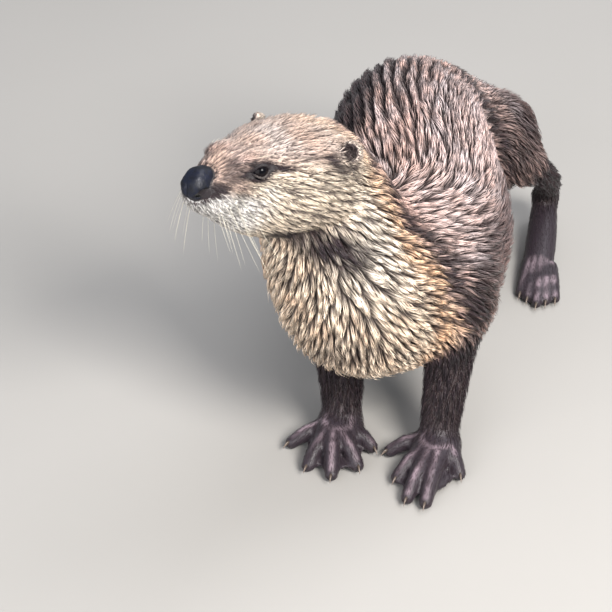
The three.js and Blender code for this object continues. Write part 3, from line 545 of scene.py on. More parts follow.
# Guides on the body: place, way, reach. The neck's hair sweeps back from the cheeks, the chest's hangs
# and fans out.
BODY_GUIDES = (
    ((-78, -10, 175), (-0.17, 0.25, -0.95), 15), ((-72, -15, 153), (-0.26, 0.31, -0.91), 16),
    ((-53, -26, 153), (-0.12, 0.05, -0.99), 16), ((-40, -29, 153), (0.03, -0.11, -0.99), 16),
    ((-47, -27, 129), (-0.10, 0.14, -0.98), 17), ((-33, -27, 169), (0.26, -0.13, -0.96), 14),
    ((-20, -27, 159), (0.40, -0.13, -0.91), 15), ((-14, -28, 145), (0.24, -0.08, -0.97), 16),
    ((-19, -30, 127), (0.01, 0.06, -1), 16), ((-31, -22, 190), (0.78, 0.05, -0.63), 13),
    ((-14, -19, 176), (0.74, 0.16, -0.66), 15), ((-1, -16, 164), (0.68, 0.17, -0.72), 15),
    ((6, -17, 150), (0.60, 0.16, -0.79), 15), ((13, -3, 160), (0.67, 0.51, -0.54), 16),
    ((26, 7, 144), (0.55, 0.70, -0.46), 16), ((34, 13, 129), (0.61, 0.70, -0.37), 15),
    ((14, -14, 135), (0.52, 0.34, -0.79), 15), ((28, 2, 120), (0.47, 0.67, -0.58), 15),
    ((20, -6, 109), (0.21, 0.54, -0.82), 15), ((32, 17, 96), (0.18, 0.71, -0.68), 15),
    ((7, -19, 113), (0.09, 0.28, -0.95), 16), ((-10, -26, 111), (-0.06, 0.24, -0.97), 16),
    ((-38, -26, 111), (-0.26, 0.37, -0.89), 17), ((0, 0, 187), (0.61, 0.51, -0.60), 18),
    ((11, 6, 172), (0.60, 0.53, -0.61), 16), ((-16, -11, 198), (0.74, 0.35, -0.57), 18),
    ((16, 7, 164), (0.61, 0.58, -0.55), 15), ((-46, -25, 180), (0.14, -0.15, -0.98), 13),
    ((-60, -22, 176), (-0.06, -0.05, -1), 13), ((-12, 3, 215), (0.57, 0.62, -0.54), 22),
    ((-4, 3, 199), (0.56, 0.61, -0.56), 20), ((-27, -20, 216), (0.30, 0.69, -0.66), 16),
    ((3, 23, 194), (0.33, 0.70, -0.64), 20), ((-38, -30, 213), (0.20, 0.71, -0.67), 16),
    ((-66, -13, 120), (-0.17, 0.51, -0.84), 18), ((-45, -23, 110), (-0.14, 0.40, -0.91), 18),
    ((-85, 10, 175), (-0.35, 0.5, -0.8), 24),
    ((23, 61, 173), (0.82, 0.43, -0.37), 22), ((38, 40, 153), (0.80, 0.39, -0.45), 22),
    ((49, 70, 155), (0.66, 0.59, -0.48), 20), ((51, 29, 129), (0.66, 0.38, -0.64), 22),
    ((39, 26, 93), (0.12, 0.65, -0.75), 20), ((-1, 76, 184), (0.95, 0.31, -0.11), 14),
    ((-72, 50, 105), (-0.2, 0.7, -0.7), 26), ((-60, 80, 165), (-0.7, 0.5, -0.4), 24),
    ((40, 290, 95), (0.15, 0.35, -0.9), 24), ((-50, 290, 95), (-0.15, 0.35, -0.9), 24),
)
GUIDE_PULL = 2.6                 # how strongly a guide overrules the body's own lie


def lie_guides():
    """Every guide's place, way and reach in the body's own frame."""
    guides = [(np.array(place, float), unit(way), reach) for place, way, reach in BODY_GUIDES]
    for place, (f, s, t), reach in HEAD_GUIDES:
        guides += [(head_pair(place, side), unit(head_way(f, side * s, t)), reach) for side in SIDES]
    return guides


def lay_hair(points, normals, lie):
    """Way the hair lies along the skin, from the body's own lie and the guides."""
    way = lie.copy()
    for place, direction, reach in lie_guides():
        pull = bell(np.linalg.norm(points - place, axis=1), reach) * GUIDE_PULL
        way += pull[:, None] * direction
    way += 0.05 * np.stack([ripples(points, 26, 31 + k) for k in range(3)], axis=1)
    way -= normals * (way * normals).sum(axis=1, keepdims=True)
    return unit(way)


# ---------- unwrapping each part round its own middle line ----------
def wrap_paths():
    """Middle line of each part, and the direction its seam faces away from."""
    neck_line = [tuple(head(0, 0, -14))] + NECK[2::-1] + [(-22, 56, 70)]
    head_line = [head(-50, 0, -8), head(40, 0, -12), head(100, 0, -18)]
    paths = {"trunk": (TRUNK, (0, 0, 1)), "neck": (neck_line, (0.2, 1, 0.4)),
             "head": (head_line, HEAD_WAYS[2]), "tail": (TAIL, (0, 0, 1))}
    for s in SIDES:
        side = "left" if s > 0 else "right"
        c = HIND_SHIFT[s]
        paths["fore_" + side] = (FORELEGS[s][0] + [(s * 34, -30, 6)], (s, 0.3, 0.6))
        paths["hind_" + side] = ([(s * 30 + c, 286, 110), (s * 47 + c, 274, 88), (s * 61 + c, 300, 60),
                                  (s * 56 + c, 325, 28), (s * 64 + c, 220, 6)], (s, -0.2, 0.5))
    return {name: (np.array(line, float), unit(up)) for name, (line, up) in paths.items()}


NECK_PATH_END = 48               # ahead of this the trunk is wrapped with the neck
BETWEEN_LEGS = -6                # left legs lie on one side of this, right legs on the other
PATHS = wrap_paths()
PATH_NAMES = tuple(PATHS)


def path_of(points, shares):
    """Number of the middle line that each point is wrapped round."""
    number = np.full(len(points), PATH_NAMES.index("trunk"))
    number[points[:, 1] < NECK_PATH_END] = PATH_NAMES.index("neck")
    number_parts(shares, number, PATH_NAMES, (
        ("tail", "tail"), ("neck", "neck"), ("head", "head", "muzzle", "ear"),
        ("fore_left", "foreleg", "forepaw"), ("hind_left", "haunch", "hindleg", "hindfoot")))
    for pair in ("fore_", "hind_"):
        right = (number == PATH_NAMES.index(pair + "left")) & (points[:, 0] <= BETWEEN_LEGS)
        number[right] = PATH_NAMES.index(pair + "right")
    return number


def wrap(points, numbers):
    """Distance round and along each point's own middle line, in millimetres."""
    flat = np.zeros((len(points), 2))
    for n, name in enumerate(PATH_NAMES):
        chosen = np.flatnonzero(numbers == n)
        if not len(chosen):
            continue
        line, up = PATHS[name]
        own = points[chosen]
        best = np.full(len(own), 1e9)
        start = 0.0
        for k, (a, b) in enumerate(zip(line[:-1], line[1:])):
            length = np.linalg.norm(b - a)
            way = (b - a) / length
            u = unit(up - way * (up @ way))
            d = own - a
            x = d @ way
            low = -1e9 if k == 0 else 0.0
            high = 1e9 if k == len(line) - 2 else length
            off = d - np.clip(x, low, high)[:, None] * way
            gap = np.linalg.norm(off, axis=1)
            closer = gap < best
            turn = np.arctan2(off @ np.cross(way, u), off @ u)
            flat[chosen[closer], 0] = (turn * np.maximum(gap, 6))[closer]
            flat[chosen[closer], 1] = (start + np.clip(x, low, high))[closer]
            best[closer] = gap[closer]
            start += length
    return flat


# ---------- markings, with painted light and shade: the same on skin and coat ---
# Fold under the jaw: sunk into the skin, and dark with wet parted hair and painted shade.
THROAT_FOLD = ((-68, -34, 208), (-58, -22, 203), (-47, -17, 198), (-36, -15, 192), (-25, -14, 186))
LOW_CHEST, LOW_CHEST_SIZE = (-15, -30, 117), (30, 14, 15)       # where the chest's tufts part
SNOUT_TAN, SNOUT_TAN_SIZE = (84, 0, 3), (14, 12, 8)             # tan hair behind the nose pad
UNDER_EYE, UNDER_EYE_SIZE = (57, 26, -14), (7, 5, 3.5)          # pale patch below the eye
RIDGE = 8.6                      # width of a wet ridge of hair on the back
# Painted shade in the crease ahead of the haunch.
CREASE_SHADE = ((-4, 262, 176), (12, 240, 171), (24, 242, 151), (34, 249, 122), (43, 251, 91))
# Dark wet places on the head: centre (forward, side, up), size, share.
HEAD_DARK = (
    ((74, 19, -2), (6, 7, 4), 0.75), ((68, 21, 2), (6, 6, 3.4), 1.0), ((80, 15, -6), (9, 8, 5), 0.8),
    ((50, 29, 0), (9, 7, 2.4), 1.0), ((92, 11, -16), (7, 6, 4), 1.0), ((88, 13, -13), (8, 6, 4), 1.0),
    ((78, 12, 0), (9, 7, 3), 0.7), ((71, 20, -13), (9, 5, 2), 0.6), ((59, 26, -8), (10, 5, 1.8), 0.6),
    ((17, 42, 6), (9, 8, 5), 0.95), ((8, 43, 0), (13, 8, 3.5), 0.95), ((-6, 42, 3), (4, 7, 8), 0.8),
    ((36, 36, 6), (11, 6, 1.7), 0.6), ((76, 20, -18), (9, 5, 1.7), 0.6), ((68, 23, -24), (12, 5, 1.7), 0.5),
    ((48, 36, -13), (14, 6, 1.6), 0.6), ((34, 43, -9), (14, 6, 1.6), 0.6), ((40, 40, -26), (14, 6, 2), 0.6),
    ((84, 5, 2), (9, 4, 2), 0.5), ((64, 10, 11), (12, 4, 2), 0.45), ((50, 20, 13), (12, 4, 2), 0.45),
)
LASH_REACH = 4                   # dark hair starts this far ahead of the eye's corner and lies back to it


def grooves(points, flat, shares):
    """Wet ridges along the far half of the back: their strength, and where across a ridge each point is."""
    phase = flat[:, 0] / RIDGE + 0.16 * ripples(points * (1, 0.35, 1), 22, 41)
    place = phase - np.round(phase)
    x, y, z = points.T
    far = 1 - 0.85 * ramp(x, -36, 8)
    return share_of(shares, "trunk") * ramp(y, 112, 140) * ramp(z, 115, 145) * far, place


def cape_edge(points):
    """How far back the pale coat of throat, neck and chest reaches at each point."""
    return 23 + 3.5 * ripples(points, 30, 5) + 0.10 * np.maximum(120 - points[:, 2], 0)


def patch_reach(points, centre, size):
    """How far each point is from a patch's centre; 1 at its edge."""
    return np.linalg.norm((points - centre) / size, axis=1)


def crown_share(points):
    """1 on top of the head, 0 on its sides."""
    f, _, t = to_head(points).T
    return ramp(t + 0.10 * f, -3, 12)


def pale_marks(points, on_head, behind, dabs):
    """Cream, tan and white of the head, throat and chest."""
    f, _, t = to_head(points).T
    x, _, z = points.T
    front, crown = 1 - ramp(behind, -5, 4), crown_share(points)
    cream = (1 - on_head) * front + on_head * (1 - 0.70 * crown) * (1 - 0.5 * ramp(-f, 30, 48) * crown)
    cream *= 1 - 0.65 * on_head * (ramp(f, 60, 74) * ramp(t, -24, -12))
    # a band along the cream's edge, the snout, and a tan wash over the chest, which is partly painted shade
    # on the chest's front
    tan = (1 - on_head) * bell(behind + 6, 8.5) * ramp(z, 60, 90) * (0.9 + 0.2 * dabs)
    tan += 0.45 * bell(patch_reach(to_head(points), SNOUT_TAN, SNOUT_TAN_SIZE), 1)
    # painted light: the lit side of the neck is made whiter and kept free of the chest's tan wash
    lit_neck = (1 - on_head) * ramp(-behind, 8, 24) * ramp(z, 130, 185) * ramp(x, -55, -10)
    tan = np.maximum(tan, (1 - on_head) * front * (0.22 + 0.22 * dabs) * (1 - lit_neck))
    white = on_head * ramp(f, 46, 66) * ramp(-t + 0.12 * f, 23, 30)
    return cream, tan, np.maximum(white, 0.4 * lit_neck)


def body_dark(points, shares, flat, behind, dabs):
    """Darkest of the dark places on body and legs, painted shade among them."""
    x, _, z = points.T
    trunk, haunch, tail = (share_of(shares, part) for part in ("trunk", "haunch", "tail"))
    body, back = share_of(shares, "trunk", "haunch", "tail"), ramp(behind, -5, 4)
    off_head = 1 - share_of(shares, "head", "muzzle", "ear")
    legs = share_of(shares, "foreleg", "hindleg", "forepaw", "hindfoot")
    strength, place = grooves(points, flat, shares)
    # painted shadow that the raised cape of pale neck fur casts on the body just behind its edge
    cape_shadow = (1 - ramp(np.abs(behind - 12) - 5 * dabs, 4, 12)) * ramp(z, 85, 110)
    crease_shade = line_gap(points, np.array(CREASE_SHADE, float))
    fold = line_gap(points, np.array(THROAT_FOLD, float))
    return np.maximum.reduce([
        ramp(legs, 0.2, 0.6) + body * back * 0.8 * ramp(118 - z + 6 * dabs, 0, 50),
        0.62 * tail + 0.93 * haunch,
        # painted shade on the far side of the back, turned away from the light
        0.92 * body * ramp(-x - 0.1 * z, 16, 32) * back,
        # painted shade on the lower part of the +X flank, which faces down
        0.8 * trunk * ramp(x, 36, 50) * ramp(170 - z, 0, 30) * back,
        # painted shadow under the cape's edge
        0.97 * cape_shadow * off_head,
        # painted shade in the crease ahead of the haunch
        (1 - ramp(crease_shade, 7, 20)) * (0.9 + 0.2 * dabs) * body,
        # dark grooves between the wet ridges on the back: dark underfur, and painted shade between the ridges
        strength * ramp(np.abs(place) + 0.08 * dabs, 0.27, 0.41),
        # dark wet hair in the throat fold, and painted shade in it
        (1 - ramp(fold, 7, 16)) * (0.94 + 0.25 * dabs),
        0.8 * bell(patch_reach(points, LOW_CHEST, LOW_CHEST_SIZE), 1) * (0.7 + 0.5 * dabs),
    ])


def mark_face(points, dark, white, dabs):
    """Dark and white with the streaks, the eyes' rims and the pale patches below the eyes."""
    for side in SIDES:
        local = to_head(points) * (1, side, 1)
        for centre, size, share in HEAD_DARK:
            patch = share * (1 - ramp(patch_reach(local, centre, size), 0.6, 1.4))
            dark = np.maximum(dark, patch * (0.9 + 0.15 * dabs))
        lid, radius, out = slit_edge(points, side)
        dark = np.maximum(dark, (1 - ramp(lid, 1.8, 4.4)) * (radius < 14) * (out > 0))
        dark = np.maximum(dark, 1 - ramp(corner_edge(points, side), 0.6, 2.2))
        ahead = corner_edge(points - head_way(LASH_REACH, 0, 0), side)
        dark = np.maximum(dark, 1 - ramp(ahead, 0.2, 1.6))
        white = np.maximum(white, 0.6 * bell(patch_reach(local, UNDER_EYE, UNDER_EYE_SIZE), 1))
        # painted reflection: a thin pale line along the wet edge of the lower lid
        below = ramp(-(points - head_pair(EYE_AT, side)) @ eye_ways(side)[2], 0.6, 2.2)
        low_lid = (radius < 9) * (out > 0.3) * bell(lid - 0.25, 0.55) * below
        white = np.maximum(white, 0.12 * low_lid)
        dark *= 1 - 0.12 * low_lid
    return dark, white


def markings(points, normals, shares, flat):
    """Shares of cream, tan, white, dark with its painted shade, painted sheen (worn ridges on the paws) and
    bare skin at each point.
    """
    f, s, t = to_head(points).T
    x, y, z = points.T
    dabs = ripples(points * (1, 1, 0.6), 11, 6)
    on_head = share_of(shares, "head", "muzzle", "ear")
    behind = y - cape_edge(points)
    cream, tan, white = pale_marks(points, on_head, behind, dabs)
    dark = body_dark(points, shares, flat, behind, dabs)
    dark, white = mark_face(points, dark, white, dabs)
    ring = (pad_value(points) < 1.0) & (f > NOSE_BACK - 1.2 + NOSE_CURVE * s * s)
    # painted shade where the skin shows inside the nostrils
    ring |= nostril_value(points) < 2.5
    dark = np.maximum(dark, ring * on_head)
    for bowl in BOWLS:
        # dark skin inside each ear's hollow, with painted shade deep in it; a pale rim along its upper edge
        gap = bowl.distance(points)[0]
        rim = bell(gap - 2.8, 2.2) * ramp(t + 0.4 * (EAR_AT[0] - f), EAR_AT[2] - 5, EAR_AT[2])
        dark = np.maximum(dark * (1 - 0.85 * rim), 0.93 * (1 - ramp(gap, 0.2, 1.3)))
        cream = np.maximum(cream, 0.85 * rim)
    # painted sheen: the highlights of wet fur given as colour on the upward faces of the body behind the
    # cape, on the lit near flank and on the crown; worn pale ridges on the paws
    back = ramp(behind, -5, 4)
    on_back = share_of(shares, "trunk", "haunch", "tail") * back * ramp(normals[:, 2], -0.1, 0.9)
    silver = np.clip(0.42 + 0.4 * ripples(points, 30, 5), 0, 1) * (on_head * crown_share(points) + on_back)
    flank = share_of(shares, "trunk") * ramp(x, -20, 15) * ramp(z, 110, 150) * back
    silver = np.maximum(silver, (0.45 + 0.25 * dabs) * flank)
    bare = ramp(share_of(shares, "forepaw", "hindfoot"), 0.35, 0.8)
    bare *= np.where(normals[:, 2] < -0.35, 1.0, 0.75)
    silver = silver * (1 - bare) + 1.3 * bare * toe_ridges(points, normals)
    return {"cream": cream, "tan": tan, "white": white, "dark": dark, "silver": silver, "bare": bare}


def toe_ridges(points, normals):
    """Paler worn skin along the tops of the toes, over the wrist and in patches."""
    best = np.full(len(points), 1e9)
    flat = (1, 1, 0.2)
    for side in SIDES:
        for root, tip in fore_toes(side) + hind_toes(side):
            middle = (np.array(root) + tip) / 2 + (0, 0, FORE_KNUCKLE)
            line = np.array([root, middle, tip]) * flat
            best = np.minimum(best, line_gap(points * flat, line))
        wrist = np.array(FOREPAWS[side]["pad"][0]) + (0, -2, 11)
        best = np.minimum(best, np.abs(np.linalg.norm((points - wrist) * (0.9, 1, 1), axis=1) - 9))
    patches = ripples(points, 13, 19)
    ridges = (1 - ramp(best, 0.5, 3.2)) * (0.55 + 0.6 * patches)
    return np.clip(ridges * ramp(normals[:, 2], 0.0, 0.6), 0, 1)


MARKS = (("marks", ("cream", "tan", "white")), ("shades", ("dark", "silver", "bare")))


def mark(made, marks, tone):
    """Stores markings on a mesh as two colour attributes."""
    for name, keys in MARKS:
        columns = [np.clip(marks[k], 0, 1) for k in keys] + [tone]
        layer = made.data.attributes.new(name, "FLOAT_COLOR", "POINT")
        layer.data.foreach_set("color", np.stack(columns, axis=1).astype(np.float32).ravel())


def keep(made, name, values):
    """Stores one number or one direction for each point of a mesh."""
    values = np.asarray(values, np.float32)
    if values.ndim == 1:
        made.data.attributes.new(name, "FLOAT", "POINT").data.foreach_set("value", values)
    else:
        made.data.attributes.new(name, "FLOAT_VECTOR", "POINT").data.foreach_set("vector", values.ravel())


# ---------- details of the skin ----------
LID_OUT = 0.75                   # lids' thickness over the eyeball
CORNERS = (11.8, 4.2, 4.9)       # dark bare skin round the eye: half length, upper and lower half height
CORNERS_AHEAD = 1.0              # how far that bare skin is shifted towards the nose
SLIT = (7.6, 2.5, 4.3)           # eye opening: half length, upper and lower half height
MOUTH = ((95.5, 0, -25.5), (92.5, 6, -29.5), (86, 13, -31.5), (76, 18, -32), (66, 21, -31), (58, 24, -28))
MOUTH_DEEP, MOUTH_WIDE = 1.5, 1.0
THROAT_DEEP = 3.5
PHILTRUM = ((97.5, 0, -19), (95.5, 0, -25.5))
FINE_SHARE = 0.42                # a point with this much of head or foot gets a finer mesh
# Two finer rounds: reach round each ear and each eye, and where the face starts ahead of the head's middle.
FINER = ((14, 15, 66), (0, 11, 1000))
HEAD_FLOOR = 150                 # no point of the head lies lower


def eye_ways(side):
    """Out of the eye, along its slit and up."""
    out = unit(head_way(EYE_FACE[0], side * EYE_FACE[1], EYE_FACE[2]))
    slit = head_way(1, 0, -0.16)
    slit = unit(slit - out * (slit @ out))
    up = np.cross(out, slit) * (-side)
    return np.array([out, slit, up if up @ HEAD_WAYS[2] > 0 else -up])


def slit_edge(points, side):
    """Distance outside the eye's almond opening, radius from the eye, and how far round the front it is."""
    d = points - head_pair(EYE_AT, side)
    radius = np.maximum(np.linalg.norm(d, axis=1), 1e-6)
    out, along, up = (d @ eye_ways(side).T / radius[:, None]).T
    length = EYE_R * np.arctan2(along, np.maximum(out, 1e-3))
    height = EYE_R * np.arctan2(up, np.maximum(out, 1e-3))
    half = np.where(height > 0, SLIT[1], SLIT[2])
    arch = half * (1 - np.abs(length / SLIT[0]) ** 1.8)
    return np.abs(height) - arch, radius, out


def corner_edge(points, side):
    """Distance outside the dark bare almond that the eye's lids and corners make."""
    d = points - head_pair(EYE_AT, side)
    out, along, up = (d @ eye_ways(side).T).T
    along = along - CORNERS_AHEAD
    arch = np.where(up > 0, CORNERS[1], CORNERS[2]) * (1 - np.abs(along / CORNERS[0]) ** 1.6)
    return np.where((out > 0) & (np.abs(along) < CORNERS[0]), np.abs(up) - arch, 9.0)


def shape_lids(points):
    """Lids round each eyeball, with the socket sunk behind it."""
    for side in SIDES:
        edge, radius, out = slit_edge(points, side)
        zone = (radius < 15) & (out > 0.05)
        centre = head_pair(EYE_AT, side)
        lid = EYE_R + LID_OUT + 0.35 * bell(edge - 0.7, 0.6)
        fade = ramp(edge, 1.6, 7.0)
        wanted = radius * fade + (lid - 0.5 * bell(edge - 2.6, 0.6)) * (1 - fade)
        sunk = ramp(-edge, -0.25, 0.45)
        wanted = wanted * (1 - sunk) + (EYE_R - 1.0) * sunk
        moved = centre + (points - centre) * (wanted / radius)[:, None]
        share = (ramp(out, 0.05, 0.35) * zone)[:, None]
        points = points * (1 - share) + moved * share
    return points


def line_gap(points, line):
    """Distance from each point to a bent line."""
    best = np.full(len(points), 1e9)
    for a, b in zip(line[:-1], line[1:]):
        way = b - a
        t = np.clip((points - a) @ way / (way @ way), 0, 1)
        best = np.minimum(best, np.linalg.norm(points - a - t[:, None] * way, axis=1))
    return best


def shape_folds(points, normals, shares):
    """Mouth line, philtrum, throat fold and slight unevenness."""
    down = 1.1 * bell(line_gap(points, [head(*p) for p in PHILTRUM]), 1.0)
    for side in SIDES:
        gap = line_gap(points, [head_pair(p, side) for p in MOUTH])
        down = np.maximum(down, MOUTH_DEEP * bell(gap, MOUTH_WIDE))
    down += THROAT_DEEP * bell(line_gap(points, np.array(THROAT_FOLD, float)), 8)
    loose = share_of(shares, "trunk", "neck", "haunch")
    down += loose * (0.7 * ripples(points, 34, 7) + 0.35 * ripples(points, 15, 8))
    return points - normals * down[:, None]


def skin_lo_hi():
    """Corners of the space that holds all forms."""
    lo = np.min([form.lo for form in FORMS], axis=0) - 4
    hi = np.max([form.hi for form in FORMS], axis=0) + 4
    lo[2] = -1.5 * CELL
    return lo, hi


def skin_points():
    """The skin's mesh, finer on the head, paws, ears and eyes."""
    lo, hi = skin_lo_hi()
    points, faces = net(read_grid(lo, hi, CELL), lo, CELL)
    skin = new_mesh("skin", settle(points), faces)
    shares = survey(places(skin))[1]
    divide(skin, share_of(shares, "head", "muzzle", "ear", "forepaw", "hindfoot") > FINE_SHARE)
    for ear_reach, eye_reach, face in FINER:
        points = places(skin)
        chosen = to_head(points)[:, 0] > face
        for place, reach in ((EAR_AT, ear_reach), (EYE_AT, eye_reach)):
            for side in SIDES:
                chosen |= np.linalg.norm(points - head_pair(place, side), axis=1) < reach
        divide(skin, chosen & (points[:, 2] > HEAD_FLOOR))
    return skin


def make_skin():
    """Skin with its folds, lids, markings and the lie of its hair."""
    skin = skin_points()
    put(skin, settle(places(skin)))
    points = places(skin)
    shares = survey(points)[1]
    points = shape_folds(points, facing(skin), shares)
    points = shape_lids(points)
    points[:, 2] = np.maximum(points[:, 2], 0)
    put(skin, points)
    normals = facing(skin)
    _, shares, lie = survey(points)
    lie = lay_hair(points, normals, lie)
    keep(skin, "lie", lie)
    numbers = path_of(points, shares)
    flat = wrap(points, numbers)
    keep(skin, "strand", np.column_stack([flat, numbers * 40.0]))
    furred = np.clip(0.25 + 0.35 * share_of(shares, "head", "muzzle", "ear"), 0, 1)
    keep(skin, "along", furred)
    marks = markings(points, normals, shares, flat)
    tone = 0.5 + 0.3 * ripples(points, 9, 77)
    mark(skin, marks, tone * (1 - 0.9 * ramp(marks["dark"], 0.7, 1)))
    return skin


# ---------- nose, eyes, claws, whiskers ----------
NOSTRIL = ((100.0, 4.2, -18.2), (97.8, 6.8, -17.2), (95.0, 8.8, -15.8), (92.8, 10.4, -15.2))
NOSTRIL_WIDE = (1.5, 2.3, 2.0, 0.7)
NOSE_CELL, NOSE_REACH = 0.55, 18        # mesh of the pad, and how far it reaches round the pad's middle
EYE_RINGS, EYE_ACROSS = 39, 48
CORNEA_OUT, CORNEA_WIDE = 0.05, 32      # how far the cornea stands out, and its width in degrees


def pad_value(points):
    """Distance to the nose pad's whole rounded block."""
    f, s, t = to_head(points).T
    narrow = 1 + NOSE_NARROW * np.abs(t - NOSE_AT[2] + 1.5)
    high = t - NOSE_AT[2]
    ahead = f - NOSE_AT[0] + NOSE_SLOPE * np.maximum(high, 0)
    rows = np.stack([ahead, s * narrow, high], axis=1) / NOSE_SIZE
    reach = (np.abs(rows) ** NOSE_SQUARE).sum(axis=1) ** (1 / NOSE_SQUARE)
    return (reach - 1) * NOSE_SIZE[2]


def nostril_value(points):
    """Distance to the nearer nostril."""
    lines = [[head_pair(p, side) for p in NOSTRIL] for side in SIDES]
    return np.minimum(*[Tube("muzzle", line, NOSTRIL_WIDE, 1, steps=3).distance(points)[0] for line in lines])


def nose_value(points):
    """Distance to the nose pad: a rounded shield with two comma nostrils and a groove."""
    value = pad_value(points)
    f, s, t = to_head(points).T
    value = -blend_min(-value, f - NOSE_BACK - NOSE_CURVE * s * s, 1.0)
    value = -blend_min(-value, nostril_value(points), 0.9)
    value += 1.0 * bell(s, 0.8) * ramp(-t, 11, 15)
    value += 0.10 * ripples(points, 1.6, 3) + 0.10 * ripples(points, 4.5, 4)
    return value


def make_nose():
    """Leathery nose pad."""
    lo, count = head(*NOSE_AT) - NOSE_REACH, int(2 * NOSE_REACH / NOSE_CELL)
    axes = [lo[i] + NOSE_CELL * np.arange(count) for i in range(3)]
    grid = np.stack(np.meshgrid(*axes, indexing="ij"), -1).reshape(-1, 3)
    points, faces = net(nose_value(grid).reshape(count, count, count), lo, NOSE_CELL)
    nose = new_mesh("nose_pad", points, faces)
    smooth = nose.modifiers.new("smooth", "SMOOTH")
    smooth.iterations = 2
    smooth.factor = 0.5
    # near-black inside the nostrils: painted shade in the holes
    keep(nose, "hole", 1 - ramp(nostril_value(points), 0.1, 1.0))
    return nose


def ring_faces(rings, across, base=0):
    """Faces of a closed form whose points are a first one, rings of points and a last one."""
    faces = []
    for j in range(across):
        k = (j + 1) % across
        faces.append((base, base + 1 + k, base + 1 + j))
        for i in range(rings - 1):
            a = base + 1 + i * across
            faces.append((a + j, a + k, a + across + k, a + across + j))
        last = base + 1 + (rings - 1) * across
        faces.append((last + j, last + k, last + across))
    return faces


def ring_shares(rings, across):
    """How far along such a form each of its points lies, 0 to 1."""
    return [0.0] + [i / rings for i in range(rings) for _ in range(across)] + [1.0]


def make_eye(side):
    """Eyeball with its cornea; iris holds the angle from where it looks, in degrees."""
    angle = np.linspace(0, math.pi, EYE_RINGS + 2)[1:-1]
    turn = np.arange(EYE_ACROSS) * 2 * math.pi / EYE_ACROSS
    out, slit, up = eye_ways(side)
    ring = np.cos(turn)[:, None] * slit + np.sin(turn)[:, None] * up
    body = np.cos(angle)[:, None, None] * out + np.sin(angle)[:, None, None] * ring[None]
    body *= (1 + CORNEA_OUT * bell(np.degrees(angle), CORNEA_WIDE))[:, None, None]
    points = np.vstack([[out * (1 + CORNEA_OUT)], body.reshape(-1, 3), [-out]]) * EYE_R
    eye = mesh_from_lists("eyeball_" + ("left" if side > 0 else "right"),
                          points + head_pair(EYE_AT, side), ring_faces(EYE_RINGS, EYE_ACROSS))
    keep(eye, "iris", np.concatenate([[0], np.repeat(np.degrees(angle), EYE_ACROSS), [180]]))
    return eye


def mesh_from_lists(name, points, faces):
    """A smooth mesh object from points in millimetres and faces of three or four corners, facing out."""
    mesh = bpy.data.meshes.new(name)
    faces = [tuple(dict.fromkeys(int(v) for v in face)) for face in faces]
    mesh.from_pydata([tuple(p * MM + SHIFT) for p in np.asarray(points)], [], faces)
    mesh.polygons.foreach_set("use_smooth", np.ones(len(faces), bool))
    made = bpy.data.objects.new(name, mesh)
    bpy.context.scene.collection.objects.link(made)
    bm = bmesh.new()
    bm.from_mesh(mesh)
    bmesh.ops.recalc_face_normals(bm, faces=bm.faces)
    bm.to_mesh(mesh)
    bm.free()
    return made


CLAW_LENGTH, CLAW_R, CLAW_AHEAD, CLAW_SUNK = 7.0, 1.5, 0.8, 2.2
CLAW_START = 4.4                 # front of the toe's last joint ahead of its middle
CLAW_LIFT = 1.6
CLAW_LOWEST = 0.6
CLAW_NARROW = 0.72               # width for its height
CLAW_RINGS, CLAW_ACROSS = 7, 8
WHISKER_RINGS, WHISKER_ACROSS = 9, 5
WHISKER_SUNK = 1.5


def claw_points(root, tip):
    """Points of one curved claw out of a toe's end: its root, its rings and its tip."""
    toe = unit([tip[0] - root[0], tip[1] - root[1], 0])
    level = unit([toe[0], toe[1] - CLAW_AHEAD, 0])
    sideways = np.cross([0, 0, 1], level)
    start = np.array(tip) + level * (CLAW_START - CLAW_SUNK) + (0, 0, CLAW_LIFT)
    end = start + level * CLAW_LENGTH
    end[2] = max(CLAW_LOWEST, start[2] - 0.4 * CLAW_LENGTH)
    high = start + level * CLAW_LENGTH * 0.55 + (0, 0, 0.22 * CLAW_LENGTH)
    points = [start - level * 0.2]
    for i in range(CLAW_RINGS):
        t = i / CLAW_RINGS
        c = start * (1 - t) ** 2 + 2 * high * t * (1 - t) + end * t * t
        r = CLAW_R * (1 - t ** 1.5)
        for j in range(CLAW_ACROSS):
            a = 2 * math.pi * j / CLAW_ACROSS
            points.append(c + sideways * math.cos(a) * r * CLAW_NARROW + np.array([0, 0, math.sin(a) * r]))
    return points + [end]


def make_claws(name, toes):
    """All the claws of one foot."""
    points, faces = [], []
    for root, tip in toes:
        faces += ring_faces(CLAW_RINGS, CLAW_ACROSS, len(points))
        points += claw_points(root, tip)
    claws = mesh_from_lists(name, points, faces)
    keep(claws, "along", ring_shares(CLAW_RINGS, CLAW_ACROSS) * len(toes))
    return claws


def whisker_roots(rng, count):
    """Where whiskers grow, the way they start and their length, for both sides."""
    rows = []
    for side in SIDES:
        for k in range(count):
            row, column = k % 3, k // 3
            f = 88 - 5.0 * column - rng.uniform(0, 1.8)
            t = -18.5 - 4.2 * row - 0.5 * column + rng.uniform(-0.8, 0.8)
            way = head_way(-0.05 - 0.12 * column, side * (0.55 - 0.10 * row), -0.70 - 0.1 * row)
            rows.append((head(f, side * 13, t), unit(way), 24 + 8.5 * column + rng.uniform(-4, 6), side))
        for k in range(2):
            way = head_way(-0.55, side * 0.35, 0.55 - 0.2 * k)
            rows.append((head(64 - 3 * k, side * 21, 7 + k), unit(way), 10 + 3 * k, side))
        for k in range(3):
            way = head_way(-0.25 - 0.1 * k, side * 0.25, -0.9)
            rows.append((head(76 - 8 * k, side * 8, -34), unit(way), 18 + 6 * k, side))
    return rows


